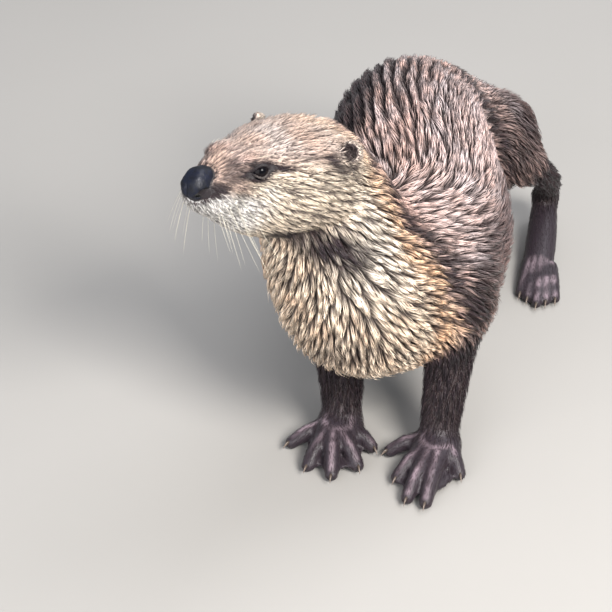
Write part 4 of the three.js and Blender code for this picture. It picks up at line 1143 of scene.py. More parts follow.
def whisker_points(at, way, length, bend, thick):
    """Points of one tapering whisker: its root, its rings and its tip."""
    start = at - way * WHISKER_SUNK
    points = [start - way * 0.1]
    turn = np.arange(WHISKER_ACROSS) * 2 * math.pi / WHISKER_ACROSS
    for i in range(WHISKER_RINGS):
        t = i / WHISKER_RINGS
        c = start + way * length * t + bend * length * t ** 1.9
        step = unit(way + 1.9 * bend * max(t, 0.02) ** 0.9)
        u = unit(np.cross(step, (0.3, 0.5, 0.8)))
        v = np.cross(step, u)
        points += [c + (u * math.cos(a) + v * math.sin(a)) * thick * (1 - 0.8 * t) for a in turn]
    return points + [start + (way + bend) * length]


def make_whiskers(count, thick):
    """Stiff whiskers that droop with water, as tapering closed tubes."""
    rng = np.random.default_rng(SEED + 5)
    points, faces = [], []
    rows = whisker_roots(rng, count)
    roots = settle(np.array([row[0] for row in rows]))
    for at, (_, way, length, side) in zip(roots, rows):
        droop = rng.uniform(0.30, 0.52)
        sweep = head_way(-0.18, 0.1 * side, 0) * rng.uniform(0.3, 1.4)
        faces += ring_faces(WHISKER_RINGS, WHISKER_ACROSS, len(points))
        points += whisker_points(at, way, length, sweep - np.array([0, 0, droop]), thick)
    whiskers = mesh_from_lists("whiskers", points, faces)
    keep(whiskers, "along", ring_shares(WHISKER_RINGS, WHISKER_ACROSS) * len(rows))
    return whiskers


# ---------- coat ----------
# For each part: gap between roots, length, width, thickness, height of the tips over the skin's own
# coat depth, reach of a wet clump, how far a clump draws its locks together, a clump's width for its
# length, and how far its tips meet along the hair; millimetres and shares.
LOCKS = {
    "muzzle": (0.66, 5.0, 0.62, 0.32, 1.00, 1.3, 0.70, 0.30, 0.25),
    "head": (0.84, 10.5, 0.95, 0.50, 1.10, 2.0, 0.90, 0.26, 0.35),
    "ear": (0.62, 4.2, 0.50, 0.28, 1.80, 1.2, 0.50, 0.50, 0.2),
    "neck": (1.08, 13.5, 1.08, 0.62, 1.12, 2.3, 0.93, 0.32, 0.55),
    "trunk": (1.34, 13.0, 1.40, 0.75, 0.95, 2.8, 0.92, 0.38, 0.45),
    "haunch": (1.5, 11.0, 1.30, 0.60, 0.80, 2.6, 0.88, 0.36, 0.4),
    "foreleg": (1.25, 7.5, 1.00, 0.45, 0.75, 2.2, 0.80, 0.4, 0.3),
    "hindleg": (1.25, 7.0, 1.00, 0.45, 0.75, 2.2, 0.80, 0.4, 0.3),
    "forepaw": (1.35, 3.0, 0.50, 0.22, 0.80, 1.4, 0.35, 0.5, 0.2),
    "hindfoot": (1.35, 3.0, 0.50, 0.22, 0.80, 1.4, 0.35, 0.5, 0.2),
    "tail": (1.5, 11.0, 1.30, 0.55, 0.85, 2.6, 0.88, 0.34, 0.3),
}
CHEEK_LOCKS = (0.95, 13.5, 1.05, 0.58, 1.2, 2.3, 0.93, 0.22, 0.35)
SHORT_BY_EYE, SHORT_BY_EAR = 17, 13     # round eyes and ears the coat is nearly as short as on the muzzle
NEAR_CLUMPS = 14                 # clump centres looked at for each root
LOCK_TABLE = np.array([LOCKS[name] for name in PARTS])
CHEST_END = 50                   # behind this the trunk's coat takes over from the chest's
BACK_END = 160                   # behind this it is the rump's
# Each piece of the coat, and how many rings a lock of it has below its tip.
COAT_RINGS = {"coat_face": 2, "coat_head": 2, "coat_neck": 3, "coat_chest": 3, "coat_back": 3,
              "coat_rump": 3, "coat_tail": 3, "coat_legs": 2, "coat_paws": 2}
COAT_NAMES = tuple(COAT_RINGS)
COAT_SLOTS = {"coat_legs": "coat_leg", "coat_paws": "paw",
              **dict.fromkeys(("coat_face", "coat_head", "coat_neck", "coat_chest"), "coat_pale")}
PIECE_LIMIT = 198000             # most triangles in one piece of coat
ROOT_SUNK = 0.35                 # how deep a lock starts under the skin
BEND_AHEAD, BEND_HIGH = 0.36, 0.85      # where a lock bends: share of its length and of its height


def lock_plan(points, shares):
    """Each point's row of lock sizes, with the chest's coat like the neck's."""
    plan = shares @ LOCK_TABLE
    chest = share_of(shares, "trunk") * (1 - ramp(points[:, 1], CHEST_END - 12, CHEST_END + 12))
    plan += chest[:, None] * (LOCK_TABLE[PART["neck"]] - LOCK_TABLE[PART["trunk"]])
    f, _, t = to_head(points).T
    cheek = share_of(shares, "head") * ramp(56 - f, 0, 22) * ramp(7 - t, 0, 14)
    plan += cheek[:, None] * (np.array(CHEEK_LOCKS) - LOCK_TABLE[PART["head"]])
    near = [bell(np.linalg.norm(points - head_pair(place, side), axis=1), reach)
            for side in SIDES for place, reach in ((EYE_AT, SHORT_BY_EYE), (EAR_AT, SHORT_BY_EAR))]
    short = 0.85 * np.minimum(1.5 * np.maximum.reduce(near), 1)[:, None]
    return plan + short * (LOCK_TABLE[PART["muzzle"]] - plan)


def coat_piece(points, shares):
    """Number of the coat piece that each root belongs to."""
    number = np.where(points[:, 1] < BACK_END, COAT_NAMES.index("coat_back"), COAT_NAMES.index("coat_rump"))
    chest = (shares.argmax(axis=1) == PART["trunk"]) & (points[:, 1] < CHEST_END)
    number[chest] = COAT_NAMES.index("coat_chest")
    number_parts(shares, number, COAT_NAMES, (
        ("coat_neck", "neck"), ("coat_head", "head", "ear"), ("coat_face", "muzzle"), ("coat_tail", "tail"),
        ("coat_legs", "foreleg", "hindleg"), ("coat_paws", "forepaw", "hindfoot")))
    return number


def corner_rows(made):
    """Each triangle of a mesh as its three point numbers."""
    made.data.calc_loop_triangles()
    corners = np.empty(len(made.data.loop_triangles) * 3, np.int32)
    made.data.loop_triangles.foreach_get("vertices", corners)
    return corners.reshape(-1, 3)


def scatter(rng, points, triangles, gap, more=2.6):
    """Random places on the skin, enough to be thinned to the wanted gaps: triangle and corner shares."""
    a, b, c = (points[triangles[:, k]] for k in range(3))
    area = np.linalg.norm(np.cross(b - a, c - a), axis=1) / 2
    wanted = area * more * 0.7 / gap[triangles].mean(axis=1) ** 2
    count = rng.poisson(wanted)
    owner = np.repeat(np.arange(len(triangles)), count)
    owner = owner[rng.permutation(len(owner))]
    u, v = rng.random((2, len(owner)))
    over = u + v > 1
    u[over], v[over] = 1 - u[over], 1 - v[over]
    return owner, np.stack([1 - u - v, u, v], axis=1)


def thin_out(places_in_order, gap):
    """Keeps a place only where no earlier one is nearer than its gap."""
    tree = kdtree.KDTree(len(places_in_order))
    for i, p in enumerate(places_in_order):
        tree.insert(p, i)
    tree.balance()
    alive = np.ones(len(places_in_order), bool)
    for i, p in enumerate(places_in_order):
        if alive[i]:
            for _, j, _ in tree.find_range(p, gap[i]):
                if j > i:
                    alive[j] = False
    return np.flatnonzero(alive)


def clump_centres(rng, roots):
    """For each root the wet clump that it belongs to; clumps are longer along the hair than across it."""
    at, way = roots["at"], roots["way"]
    side = np.cross(roots["up"], way)
    reach, stretch = roots["plan"][:, 5], roots["plan"][:, 7]
    order = rng.permutation(len(at))
    centres = order[thin_out(at[order], (reach / np.sqrt(stretch))[order] * 1.3)]
    tree = kdtree.KDTree(len(centres))
    for i in centres:
        tree.insert(at[i], int(i))
    tree.balance()
    near = np.array([[hit[1] for hit in tree.find_n(p, NEAR_CLUMPS)] for p in at])
    gap = at[near] - at[:, None]
    across = (gap * side[:, None]).sum(axis=2)
    along = (gap * way[:, None]).sum(axis=2) * stretch[:, None]
    out = (gap * roots["up"][:, None]).sum(axis=2)
    best = (across ** 2 + along ** 2 + out ** 2).argmin(axis=1)
    return near[np.arange(len(at)), best]


def bald(points, normals):
    """Where no hair grows: eyes, nose pad, mouth line and soles."""
    none = (normals[:, 2] < -0.5) & (points[:, 2] < 4)
    for side in SIDES:
        edge, radius, out = slit_edge(points, side)
        none |= (edge < 1.7) & (radius < 13) & (out > 0.1)
        none |= corner_edge(points, side) < 0.2
    f, s, _ = to_head(points).T
    none |= (pad_value(points) < 0.4) & (f > NOSE_BACK - 0.6 + NOSE_CURVE * s * s)
    none |= nostril_value(points) < 1.2
    for bowl in BOWLS:
        none |= bowl.distance(points)[0] < -0.6
    return none


def coat_roots(skin, density):
    """Every root of the coat with all that its lock needs, in one dictionary of arrays."""
    rng = np.random.default_rng(SEED)
    points, normals = places(skin), facing(skin)
    shares = survey(points)[1]
    gap = lock_plan(points, shares)[:, 0] / math.sqrt(density)
    triangles = corner_rows(skin)
    owner, mix = scatter(rng, points, triangles, gap)

    def at_roots(rows):
        return (rows[triangles[owner]] * (mix[:, :, None] if rows.ndim == 2 else mix)).sum(axis=1)

    spots, own_gap = at_roots(points), at_roots(gap)
    kept = thin_out(spots, own_gap)
    owner, mix, spots = owner[kept], mix[kept], spots[kept]
    kept_rows = skin.data.attributes
    roots = {"at": spots, "up": unit(at_roots(normals)), "shares": at_roots(shares),
             "way": at_roots(read_rows(kept_rows["lie"].data, "vector", 3)),
             "marks": at_roots(read_rows(kept_rows["marks"].data, "color", 4)),
             "shades": at_roots(read_rows(kept_rows["shades"].data, "color", 4))}
    hairy = ~bald(roots["at"], roots["up"])
    roots = {key: rows[hairy] for key, rows in roots.items()}
    roots["way"] = unit(roots["way"] - roots["up"] * (roots["way"] * roots["up"]).sum(axis=1, keepdims=True))
    roots["plan"] = lock_plan(roots["at"], roots["shares"])
    roots["depth"] = roots["shares"] @ DEPTHS
    numbers = path_of(roots["at"], roots["shares"])
    roots["path"] = numbers
    roots["flat"] = wrap(roots["at"], numbers)
    roots["run"] = survey(roots["at"])[2]
    roots["clump"] = clump_centres(rng, roots)
    roots["piece"] = coat_piece(roots["at"], roots["shares"])
    return roots


def aim_locks(rng, roots):
    """Tips of the locks: drawn into wet clumps and ridges, and held at the coat's depth over the skin."""
    plan, count = roots["plan"], len(roots["at"])
    at, up, way = roots["at"], roots["up"], roots["way"]
    centre = at[roots["clump"]]
    side = np.cross(up, way)
    across = ((centre - at) * side).sum(axis=1)
    ahead = np.clip(((at - centre) * way).sum(axis=1) * plan[:, 7] / plan[:, 5], -1, 1)
    strength, place = grooves(at, roots["flat"], roots["shares"])
    ridge = ramp(strength, 0.25, 0.5)
    turned = np.sign((np.cross(roots["run"], up) * side).sum(axis=1))
    across = across * (1 - ridge) - turned * place * RIDGE * ridge
    reach = plan[:, 5] * (1 - ridge) + RIDGE * 0.5 * ridge
    across = np.clip(across, -1.3 * reach, 1.3 * reach)
    off = np.abs(across)
    clump_size = rng.uniform(0.78, 1.22, count)[roots["clump"]]
    length = plan[:, 1] * clump_size * rng.uniform(0.88, 1.1, count) * (1 - plan[:, 8] * ahead * (1 - ridge))
    swing = 0.15 * rng.normal(size=count)[roots["clump"]] * (1 - 0.6 * ridge)
    stray = swing + 0.045 * rng.normal(size=count)
    tip = at + way * length[:, None] + side * (across * plan[:, 6] + stray * length)[:, None]
    rise = (0.40 + 0.72 * bell(off, reach * 0.6)) * rng.uniform(0.8, 1.15, count)
    rise *= 1 + 0.30 * bell(at[:, 1] - cape_edge(at) + 4, 8) + 0.25 * (rng.random(count) < 0.06)
    high = roots["depth"] * plan[:, 4] * rise
    above = skin_value(tip)
    tip += up * np.clip(high - above, -6, 6)[:, None]
    roots["tip"], roots["length"], roots["high"], roots["side"] = tip, length, high, side
    # Each lock's tone: random for the lock and its clump, made darker towards the clump's edges as painted
    # shade between the clumps, less on the pale front
    own = 0.17 * rng.normal(size=count) + 0.16 * rng.normal(size=count)[roots["clump"]]
    front = 1 - ramp(at[:, 1] - cape_edge(at), -8, 4)
    roots["tone"] = np.clip(0.74 + own - (0.76 - 0.24 * front) * ramp(off, 0.38 * reach, 1.05 * reach), 0, 1)
    return roots


def lock_piece(name, roots, rings):
    """One coat piece: closed three-sided locks that taper from root to tip."""
    count = len(roots["at"])
    plan, up, side = roots["plan"], roots["up"], roots["side"]
    start = roots["at"] - up * ROOT_SUNK
    bend = roots["at"] + roots["way"] * (roots["length"] * BEND_AHEAD)[:, None]
    bend = bend + up * (roots["high"] * BEND_HIGH)[:, None]
    width, thick = plan[:, 2] * (0.8 + 0.4 * roots["tone"]), plan[:, 3]
    stops = [k / (rings + 0.6) for k in range(rings)]
    points, along, strand = [], [], []
    for t in stops:
        c = start * (1 - t) ** 2 + 2 * bend * t * (1 - t) + roots["tip"] * t * t
        run = unit((bend - start) * (1 - t) + (roots["tip"] - bend) * t)
        top = unit(np.cross(run, side))
        top *= np.sign((top * up).sum(axis=1, keepdims=True) + 1e-9)
        taper = (1 - t ** 1.7)
        half = (side * (width * taper / 2)[:, None])
        points += [c - half, c + half, c + top * (thick * (1 - 0.7 * t))[:, None]]
        for edge in (-0.5, 0.5, 0.0):
            along.append(np.full(count, t))
            strand.append(np.column_stack([edge * width, t * roots["length"], np.arange(count) * 1.7]))
    points.append(roots["tip"])
    along.append(np.ones(count))
    strand.append(np.column_stack([np.zeros(count), roots["length"], np.arange(count) * 1.7]))
    per = len(points)
    rows = [(0, 2, 1)]
    for k in range(rings - 1):
        for i, j in ((0, 1), (1, 2), (2, 0)):
            a, b = 3 * k, 3 * k + 3
            rows += [(a + i, a + j, b + j), (a + i, b + j, b + i)]
    last = 3 * (rings - 1)
    rows += [(last + i, last + j, per - 1) for i, j in ((0, 1), (1, 2), (2, 0))]
    faces = (np.arange(count)[:, None, None] * per + np.array(rows)[None]).reshape(-1, 3)
    piece = new_mesh(name, np.stack(points, axis=1).reshape(-1, 3), faces)
    keep(piece, "along", np.stack(along, axis=1).ravel())
    keep(piece, "strand", np.stack(strand, axis=1).reshape(-1, 3))
    marks = {key: np.repeat(roots[kept][:, k], per) for kept, keys in MARKS for k, key in enumerate(keys)}
    mark(piece, marks, np.repeat(roots["tone"], per))
    lay_patches(piece, roots, np.stack(strand, axis=1), np.stack(along, axis=1), faces, per)
    return piece


PATCH = 0.003                    # size of a lock's own patch on the unwrap


def lay_patches(piece, roots, strand, along, faces, per):
    """Map on which every lock is a small patch at its root's place on the unwrapped skin."""
    paths = np.unique(roots["path"])
    column = np.searchsorted(paths, roots["path"])
    base = np.zeros((len(roots["at"]), 2))
    for k in range(len(paths)):
        own = column == k
        flat = roots["flat"][own]
        low, high = flat.min(axis=0), flat.max(axis=0)
        base[own] = (flat - low) / np.maximum(high - low, 1e-6)
    base = 0.01 + 0.975 * base
    base[:, 0] = (base[:, 0] + column) / len(paths)
    width = np.maximum(roots["plan"][:, 2], 1e-6)
    u = base[:, :1] + strand[:, :, 0] / width[:, None] * PATCH * 0.8
    v = base[:, 1:] + (along - 0.5) * PATCH
    flat = np.stack([u, v], axis=2).reshape(-1, 2)
    layer = piece.data.uv_layers.new(name="OFBake")
    layer.uv.foreach_set("vector", np.clip(flat[faces.ravel()], 0, 1).astype(np.float32).ravel())


def make_coat(skin, density):
    """All pieces of the coat, none over the limit of triangles."""
    roots = aim_locks(np.random.default_rng(SEED + 1), coat_roots(skin, density))
    pieces = []
    for k, name in enumerate(COAT_NAMES):
        rings = COAT_RINGS[name]
        own = np.flatnonzero(roots["piece"] == k)
        if not len(own):
            raise RuntimeError("no roots for " + name)
        triangles = len(own) * (6 * rings - 2)
        halves = math.ceil(triangles / PIECE_LIMIT)
        ranks = np.argsort(np.argsort(roots["at"][own, 0]))
        group = ranks * halves // len(own)
        for h in range(halves):
            chosen = {key: rows[own[group == h]] for key, rows in roots.items()}
            label = name if halves == 1 else f"{name}_{h + 1}"
            pieces.append(lock_piece(label, chosen, rings))
    return pieces


# ---------- shader building ----------
def node(tree, kind, settings=(), inputs=()):
    """A new node with its settings, and inputs that are values or other nodes' sockets."""
    made = tree.nodes.new(kind)
    for key, value in dict(settings).items():
        setattr(made, key, value)
    for key, value in dict(inputs).items():
        if isinstance(value, bpy.types.NodeSocket):
            tree.links.new(value, made.inputs[key])
        else:
            made.inputs[key].default_value = value
    return made


def mixed(tree, share, a, b, blend="MIX"):
    """Colour a turned to b by share."""
    made = node(tree, "ShaderNodeMix", {"data_type": "RGBA", "blend_type": blend}, {0: share, 6: a, 7: b})
    return made.outputs[2]


def sums(tree, operation, *values):
    """Result of one piece of arithmetic."""
    return node(tree, "ShaderNodeMath", {"operation": operation}, enumerate(values)).outputs[0]


def scaled(tree, colour, by):
    """A colour made brighter or darker."""
    return node(tree, "ShaderNodeVectorMath", {"operation": "SCALE"}, {0: colour, "Scale": by}).outputs[0]


def steps(tree, value, low, high, out_low=0.0, out_high=1.0):
    """Smooth change from out_low to out_high as value goes from low to high."""
    made = node(tree, "ShaderNodeMapRange", {"interpolation_type": "SMOOTHSTEP"},
                {"Value": value, "From Min": low, "From Max": high, "To Min": out_low, "To Max": out_high})
    return made.outputs["Result"]


def new_group(name, inputs, outputs):
    """An empty shader group with named sockets; returns its tree and the sockets of its input."""
    tree = bpy.data.node_groups.new(name, "ShaderNodeTree")
    for label, kind, value in inputs:
        socket = tree.interface.new_socket(label, in_out="INPUT", socket_type=kind)
        socket.default_value = value
    for label, kind in outputs:
        tree.interface.new_socket(label, in_out="OUTPUT", socket_type=kind)
    return tree, tree.nodes.new("NodeGroupInput").outputs, tree.nodes.new("NodeGroupOutput").inputs


def use_group(tree, name, inputs=()):
    """A group placed in a material with its own values."""
    return node(tree, "ShaderNodeGroup", {"node_tree": bpy.data.node_groups[name]}, inputs).outputs


def attribute(tree, name):
    """Outputs of an attribute that the mesh carries."""
    return node(tree, "ShaderNodeAttribute", {"attribute_name": name}).outputs


def own_place(tree):
    """Place on the object, in its own coordinates."""
    return node(tree, "ShaderNodeTexCoord").outputs["Object"]


COLOR, FLOAT, VECTOR = "NodeSocketColor", "NodeSocketFloat", "NodeSocketVector"
COAT_COLOURS = ("Cream", "Tan", "White", "Back", "Dark", "Silver", "Root")


def coat_colour_group():
    """Markings: each lock's colour from its root's markings, dark at the root (dark underfur, with painted
    shade deep in the coat) and paler to the tip.
    """
    sockets = [(name, COLOR, (0.5, 0.5, 0.5, 1)) for name in COAT_COLOURS]
    sockets += [("Root End", FLOAT, 0.18), ("Tip Start", FLOAT, 0.68), ("Gloss", FLOAT, 0.45)]
    tree, given, result = new_group("Otter coat colour", sockets, [("Color", COLOR), ("Roughness", FLOAT)])
    marks = attribute(tree, "marks")
    mark = node(tree, "ShaderNodeSeparateColor", inputs={0: marks["Color"]}).outputs
    shade = node(tree, "ShaderNodeSeparateColor", inputs={0: attribute(tree, "shades")["Color"]}).outputs
    # painted sheen of wet fur, and worn ridges on the paws' locks
    tip = mixed(tree, shade[1], given["Back"], given["Silver"])
    for share, name in zip((*mark[:3], shade[0]), ("Cream", "Tan", "White", "Dark")):
        tip = mixed(tree, share, tip, given[name])
    tone = sums(tree, "MULTIPLY_ADD", marks["Alpha"], 1.0, 0.38)
    toned = scaled(tree, tip, tone)
    low = mixed(tree, 0.10, given["Root"], toned)
    rise = steps(tree, attribute(tree, "along")["Fac"], given["Root End"], given["Tip Start"])
    tree.links.new(mixed(tree, rise, low, toned), result["Color"])
    tree.links.new(sums(tree, "MULTIPLY_ADD", rise, -0.12, given["Gloss"]), result["Roughness"])


def noise(tree, place, scale, detail, roughness=0.5):
    """Soft random value at a place."""
    inputs = {"Vector": place, "Scale": scale, "Detail": detail, "Roughness": roughness}
    return node(tree, "ShaderNodeTexNoise", inputs=inputs).outputs["Fac"]


def streaks_group():
    """Fine hairs: long, narrow unevenness along the hair's own coordinates."""
    sockets = [("Strand", VECTOR, (0, 0, 0)), ("Fineness", FLOAT, 2.5), ("Stretch", FLOAT, 0.1)]
    tree, given, result = new_group("Hair streaks", sockets, [("Height", FLOAT)])
    parts = node(tree, "ShaderNodeSeparateXYZ", inputs={0: given["Strand"]}).outputs
    across = sums(tree, "MULTIPLY", parts[0], given["Fineness"])
    along = sums(tree, "MULTIPLY", sums(tree, "MULTIPLY", parts[1], given["Fineness"]), given["Stretch"])
    place = node(tree, "ShaderNodeCombineXYZ", inputs={0: across, 1: along, 2: parts[2]}).outputs[0]
    tree.links.new(noise(tree, place, 1.0, 2.0, 0.6), result["Height"])


def grain_group():
    """Leather grain: small pebbles over soft wrinkles."""
    sockets = [("Scale", FLOAT, 900.0)]
    tree, given, result = new_group("Bare skin grain", sockets, [("Height", FLOAT), ("Mask", FLOAT)])
    place = own_place(tree)
    pebbles = node(tree, "ShaderNodeTexVoronoi", {"feature": "SMOOTH_F1"},
                   {"Vector": place, "Scale": given["Scale"]}).outputs["Distance"]
    broad = noise(tree, place, 160.0, 3.0)
    height = sums(tree, "ADD", sums(tree, "MULTIPLY", pebbles, -1.0), broad)
    tree.links.new(height, result["Height"])
    tree.links.new(broad, result["Mask"])


def new_material(name, sheen=0.0, coat_roughness=0.1):
    """A material with its surface shader."""
    material = bpy.data.materials.new(name)
    material.use_nodes = True
    tree = material.node_tree
    tree.nodes.clear()
    shader = node(tree, "ShaderNodeBsdfPrincipled")
    shader.inputs["Sheen Weight"].default_value = sheen
    shader.inputs["Coat Roughness"].default_value = coat_roughness
    output = node(tree, "ShaderNodeOutputMaterial", inputs={"Surface": shader.outputs[0]})
    output.is_active_output = True
    return material, tree, shader


def rgba(colour, share=1.0):
    """A property's colour, or a darker one, with its fourth number."""
    return (*(share * c for c in colour), 1.0)


def bump(tree, height, strength, distance, below=None):
    """Normal of a surface raised by height."""
    inputs = {"Height": height, "Strength": strength, "Distance": distance}
    if below is not None:
        inputs["Normal"] = below
    return node(tree, "ShaderNodeBump", inputs=inputs).outputs[0]


def palette(coat):
    """The coat's colours, as the coat colour group's inputs."""
    return {name: rgba(getattr(coat, name.lower())) for name in COAT_COLOURS}


def hair(tree, coat, fineness, stretch, low, high):
    """The coat's colour varied from hair to hair, its roughness and the hairs' height."""
    colour = use_group(tree, "Otter coat colour", palette(coat))
    height = use_group(tree, "Hair streaks", {"Strand": attribute(tree, "strand")["Vector"],
                                              "Fineness": fineness, "Stretch": stretch})["Height"]
    varied = scaled(tree, colour["Color"], steps(tree, height, 0.3, 0.7, low, high))
    return varied, colour["Roughness"], height


def coat_material(coat):
    """Wet locks."""
    material, tree, shader = new_material("Wet coat", sheen=0.06)
    shader.inputs["Specular IOR Level"].default_value = 0.3
    colour, roughness, height = hair(tree, coat, 5.0, 0.06, 0.72, 1.22)
    tree.links.new(colour, shader.inputs["Base Color"])
    tree.links.new(roughness, shader.inputs["Roughness"])
    tree.links.new(bump(tree, height, 0.6, 0.0003), shader.inputs["Normal"])
    return material


def skin_material(coat, bare):
    """Skin with the coat's markings, streaked by short flat fur, and bare leather on the paws."""
    material, tree, shader = new_material("Otter skin", sheen=0.05)
    colour, _, height = hair(tree, coat, 2.2, 0.12, 0.6, 1.2)
    shade = node(tree, "ShaderNodeSeparateColor", inputs={0: attribute(tree, "shades")["Color"]}).outputs
    share, worn = shade[2], shade[1]
    grain = use_group(tree, "Bare skin grain", {"Scale": 1100.0})
    patch = sums(tree, "MULTIPLY", worn, steps(tree, grain["Mask"], 0.3, 0.6, 0.55, 1.0))
    leather = mixed(tree, patch, rgba(bare.paw), rgba(bare.pad))
    tree.links.new(mixed(tree, share, colour, leather), shader.inputs["Base Color"])
    shader.inputs["Roughness"].default_value = 0.5
    folded = bump(tree, grain["Height"], 0.35, 0.0004)
    flat = node(tree, "ShaderNodeMix", {"data_type": "FLOAT"}, {0: share, 2: height, 3: 0.5}).outputs[0]
    tree.links.new(bump(tree, flat, 0.8, 0.0009, folded), shader.inputs["Normal"])
    return material


def nose_material(bare):
    """Moist, pebbled nose leather."""
    material, tree, shader = new_material("Nose leather")
    grain = use_group(tree, "Bare skin grain", {"Scale": 1500.0})
    skin = mixed(tree, steps(tree, grain["Mask"], 0.35, 0.65), rgba(bare.nose, 0.35), rgba(bare.nose))
    # painted shade inside the nostrils
    skin = mixed(tree, attribute(tree, "hole")["Fac"], skin, (0.002, 0.002, 0.002, 1))
    tree.links.new(skin, shader.inputs["Base Color"])
    tree.links.new(steps(tree, grain["Mask"], 0.3, 0.7, 0.58, 0.44), shader.inputs["Roughness"])
    tree.links.new(bump(tree, grain["Height"], 0.5, 0.0003), shader.inputs["Normal"])
    shader.inputs["Specular IOR Level"].default_value = 0.32
    return material


def eye_material(bare):
    """Wet eye: black pupil in a very dark brown iris."""
    material, tree, shader = new_material("Wet eye")
    angle = attribute(tree, "iris")["Fac"]
    fibres = noise(tree, own_place(tree), 1400.0, 2.0)
    iris = mixed(tree, fibres, rgba(bare.iris, 0.4), rgba(bare.iris))
    colour = mixed(tree, steps(tree, angle, 19.0, 23.0), (0.002, 0.002, 0.003, 1), iris)
    colour = mixed(tree, steps(tree, angle, 44.0, 56.0), colour, (0.003, 0.003, 0.005, 1))
    tree.links.new(colour, shader.inputs["Base Color"])
    tree.links.new(steps(tree, fibres, 0.2, 0.8, 0.12, 0.16), shader.inputs["Roughness"])
    shader.inputs["Specular IOR Level"].default_value = 0.12
    return material


def horn_material(bare):
    """Claws: dull brown horn, paler to the tip."""
    material, tree, shader = new_material("Claw horn")
    grain = noise(tree, own_place(tree), 500.0, 4.0)
    pale = steps(tree, attribute(tree, "along")["Fac"], 0.1, 0.95)
    share = sums(tree, "MULTIPLY", pale, steps(tree, grain, 0.2, 0.7, 0.6, 1))
    tree.links.new(mixed(tree, share, rgba(bare.claw, 0.3), rgba(bare.claw)), shader.inputs["Base Color"])
    tree.links.new(steps(tree, grain, 0.3, 0.7, 0.28, 0.45), shader.inputs["Roughness"])
    tree.links.new(bump(tree, grain, 0.3, 0.0002), shader.inputs["Normal"])
    return material


def whisker_material(bare):
    """Pale, glossy whiskers, darker at the root."""
    material, tree, shader = new_material("Whisker")
    past_root = steps(tree, attribute(tree, "along")["Fac"], 0.02, 0.3)
    colour = mixed(tree, past_root, rgba(bare.whisker, 0.35), rgba(bare.whisker))
    tree.links.new(colour, shader.inputs["Base Color"])
    shader.inputs["Roughness"].default_value = 0.35
    return material


def make_groups():
    """The shared shader groups, made once."""
    for name, build in (("Otter coat colour", coat_colour_group), ("Hair streaks", streaks_group),
                        ("Bare skin grain", grain_group)):
        if name not in bpy.data.node_groups:
            build()


# ---------- what a user can change ----------
def colour_property(label, text, value):
    """A colour setting."""
    return FloatVectorProperty(name=label, description=text, default=value, subtype="COLOR",
                               min=0.0, max=1.0)


class OtterCoat(bpy.types.PropertyGroup):
    """Density and colours of the coat."""

    density: FloatProperty(name="Density", description="Locks for each place that has one", default=1.0,
                           min=0.1, max=1.5)
    cream: colour_property("Cream", "Throat, cheeks and chest", (0.93, 0.79, 0.63))
    tan: colour_property("Tan", "Edge of the cream and bridge of the nose", (0.80, 0.50, 0.31))
    white: colour_property("White", "Lips and chin", (0.97, 0.94, 0.90))
    back: colour_property("Back", "Back, flanks and tail", (0.62, 0.41, 0.35))
    # Dark: legs and eye streak, and the colour of the painted shade on the lower flanks, under the cape and
    # in the creases
    dark: colour_property("Dark", "Legs, flanks' lower edge and eye streak", (0.020, 0.011, 0.016))
    # painted sheen: the colour that stands for the highlights of wet fur on crown, back and near flank
    silver: colour_property("Silver", "Wet shine on crown and back", (0.64, 0.55, 0.55))
    # Root: dark underfur, with painted shade deep in the coat between the locks
    root: colour_property("Root", "Underfur between the locks", (0.035, 0.020, 0.021))


class OtterFace(bpy.types.PropertyGroup):
    """Bare parts and whiskers."""

    paw: colour_property("Paw", "Bare skin of the paws", (0.018, 0.012, 0.020))
    pad: colour_property("Pad", "Pink-grey patches on toes", (0.33, 0.25, 0.29))
    nose: colour_property("Nose", "Nose pad", (0.004, 0.006, 0.017))
    iris: colour_property("Iris", "Ring round the pupil", (0.006, 0.004, 0.005))
    claw: colour_property("Claw", "Tip of the claws", (0.20, 0.15, 0.12))
    whisker: colour_property("Whisker", "Whiskers past their roots", (0.80, 0.74, 0.60))
    whisker_count: IntProperty(name="Whiskers", description="Whiskers on each side of the muzzle", default=8,
                               min=4, max=32)
    whisker_radius: FloatProperty(name="Whisker radius", description="Thickness at the root, millimetres",
                                  default=0.13, min=0.1, max=0.5)


class OtterStage(bpy.types.PropertyGroup):
    """Camera, lights and floor."""

    azimuth: FloatProperty(name="Azimuth", description="Way round from straight ahead",
                           default=math.radians(14), subtype="ANGLE")
    elevation: FloatProperty(name="Elevation", description="Camera's angle above the horizon",
                             default=math.radians(35), subtype="ANGLE")
    lens: FloatProperty(name="Lens", description="Focal length in millimetres", default=158.82)
    key: FloatProperty(name="Key light", description="Power of the key light in watts", default=81.0)
    fill: FloatProperty(name="Fill light", description="Power of the fill light in watts", default=22.0)
    top: FloatProperty(name="Top light", description="Power of the light above and behind, in watts",
                       default=15.0)
    sky: FloatProperty(name="Sky", description="Strength of the light from all round", default=0.52)
    floor: colour_property("Floor", "Plain floor", (0.36, 0.347, 0.33))


def finish_piece(piece, material, slot_name, *nodes):
    """Gives a piece its material and its body, and hides the nodes that it stands for; the slot name is not
    used.
    """
    piece.data.materials.append(material)
    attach(piece, BODY)
    if nodes:
        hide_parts(*nodes)
    return piece


# Nodes that the one skin stands for.
FLESH = ("head", "neck", "chest", "loin", "rump", "haunch_left", "haunch_right",
         "foreleg_left", "foreleg_right", "hind_leg_left", "hind_leg_right",
         "paw_front_left", "paw_front_right", "paw_hind_left", "paw_hind_right",
         "tail_base", "tail_middle", "tail_tip", "ear_left", "ear_right")


class OTTER_OT_skin(bpy.types.Operator):
    """Build the one skin that stands for every node of flesh"""

    bl_idname = "otter.skin"
    bl_label = "Skin"

    def execute(self, context):
        make_groups()
        scene = context.scene
        finish_piece(make_skin(), skin_material(scene.otter_coat, scene.otter_face), "coat_back", *FLESH)
        return {"FINISHED"}


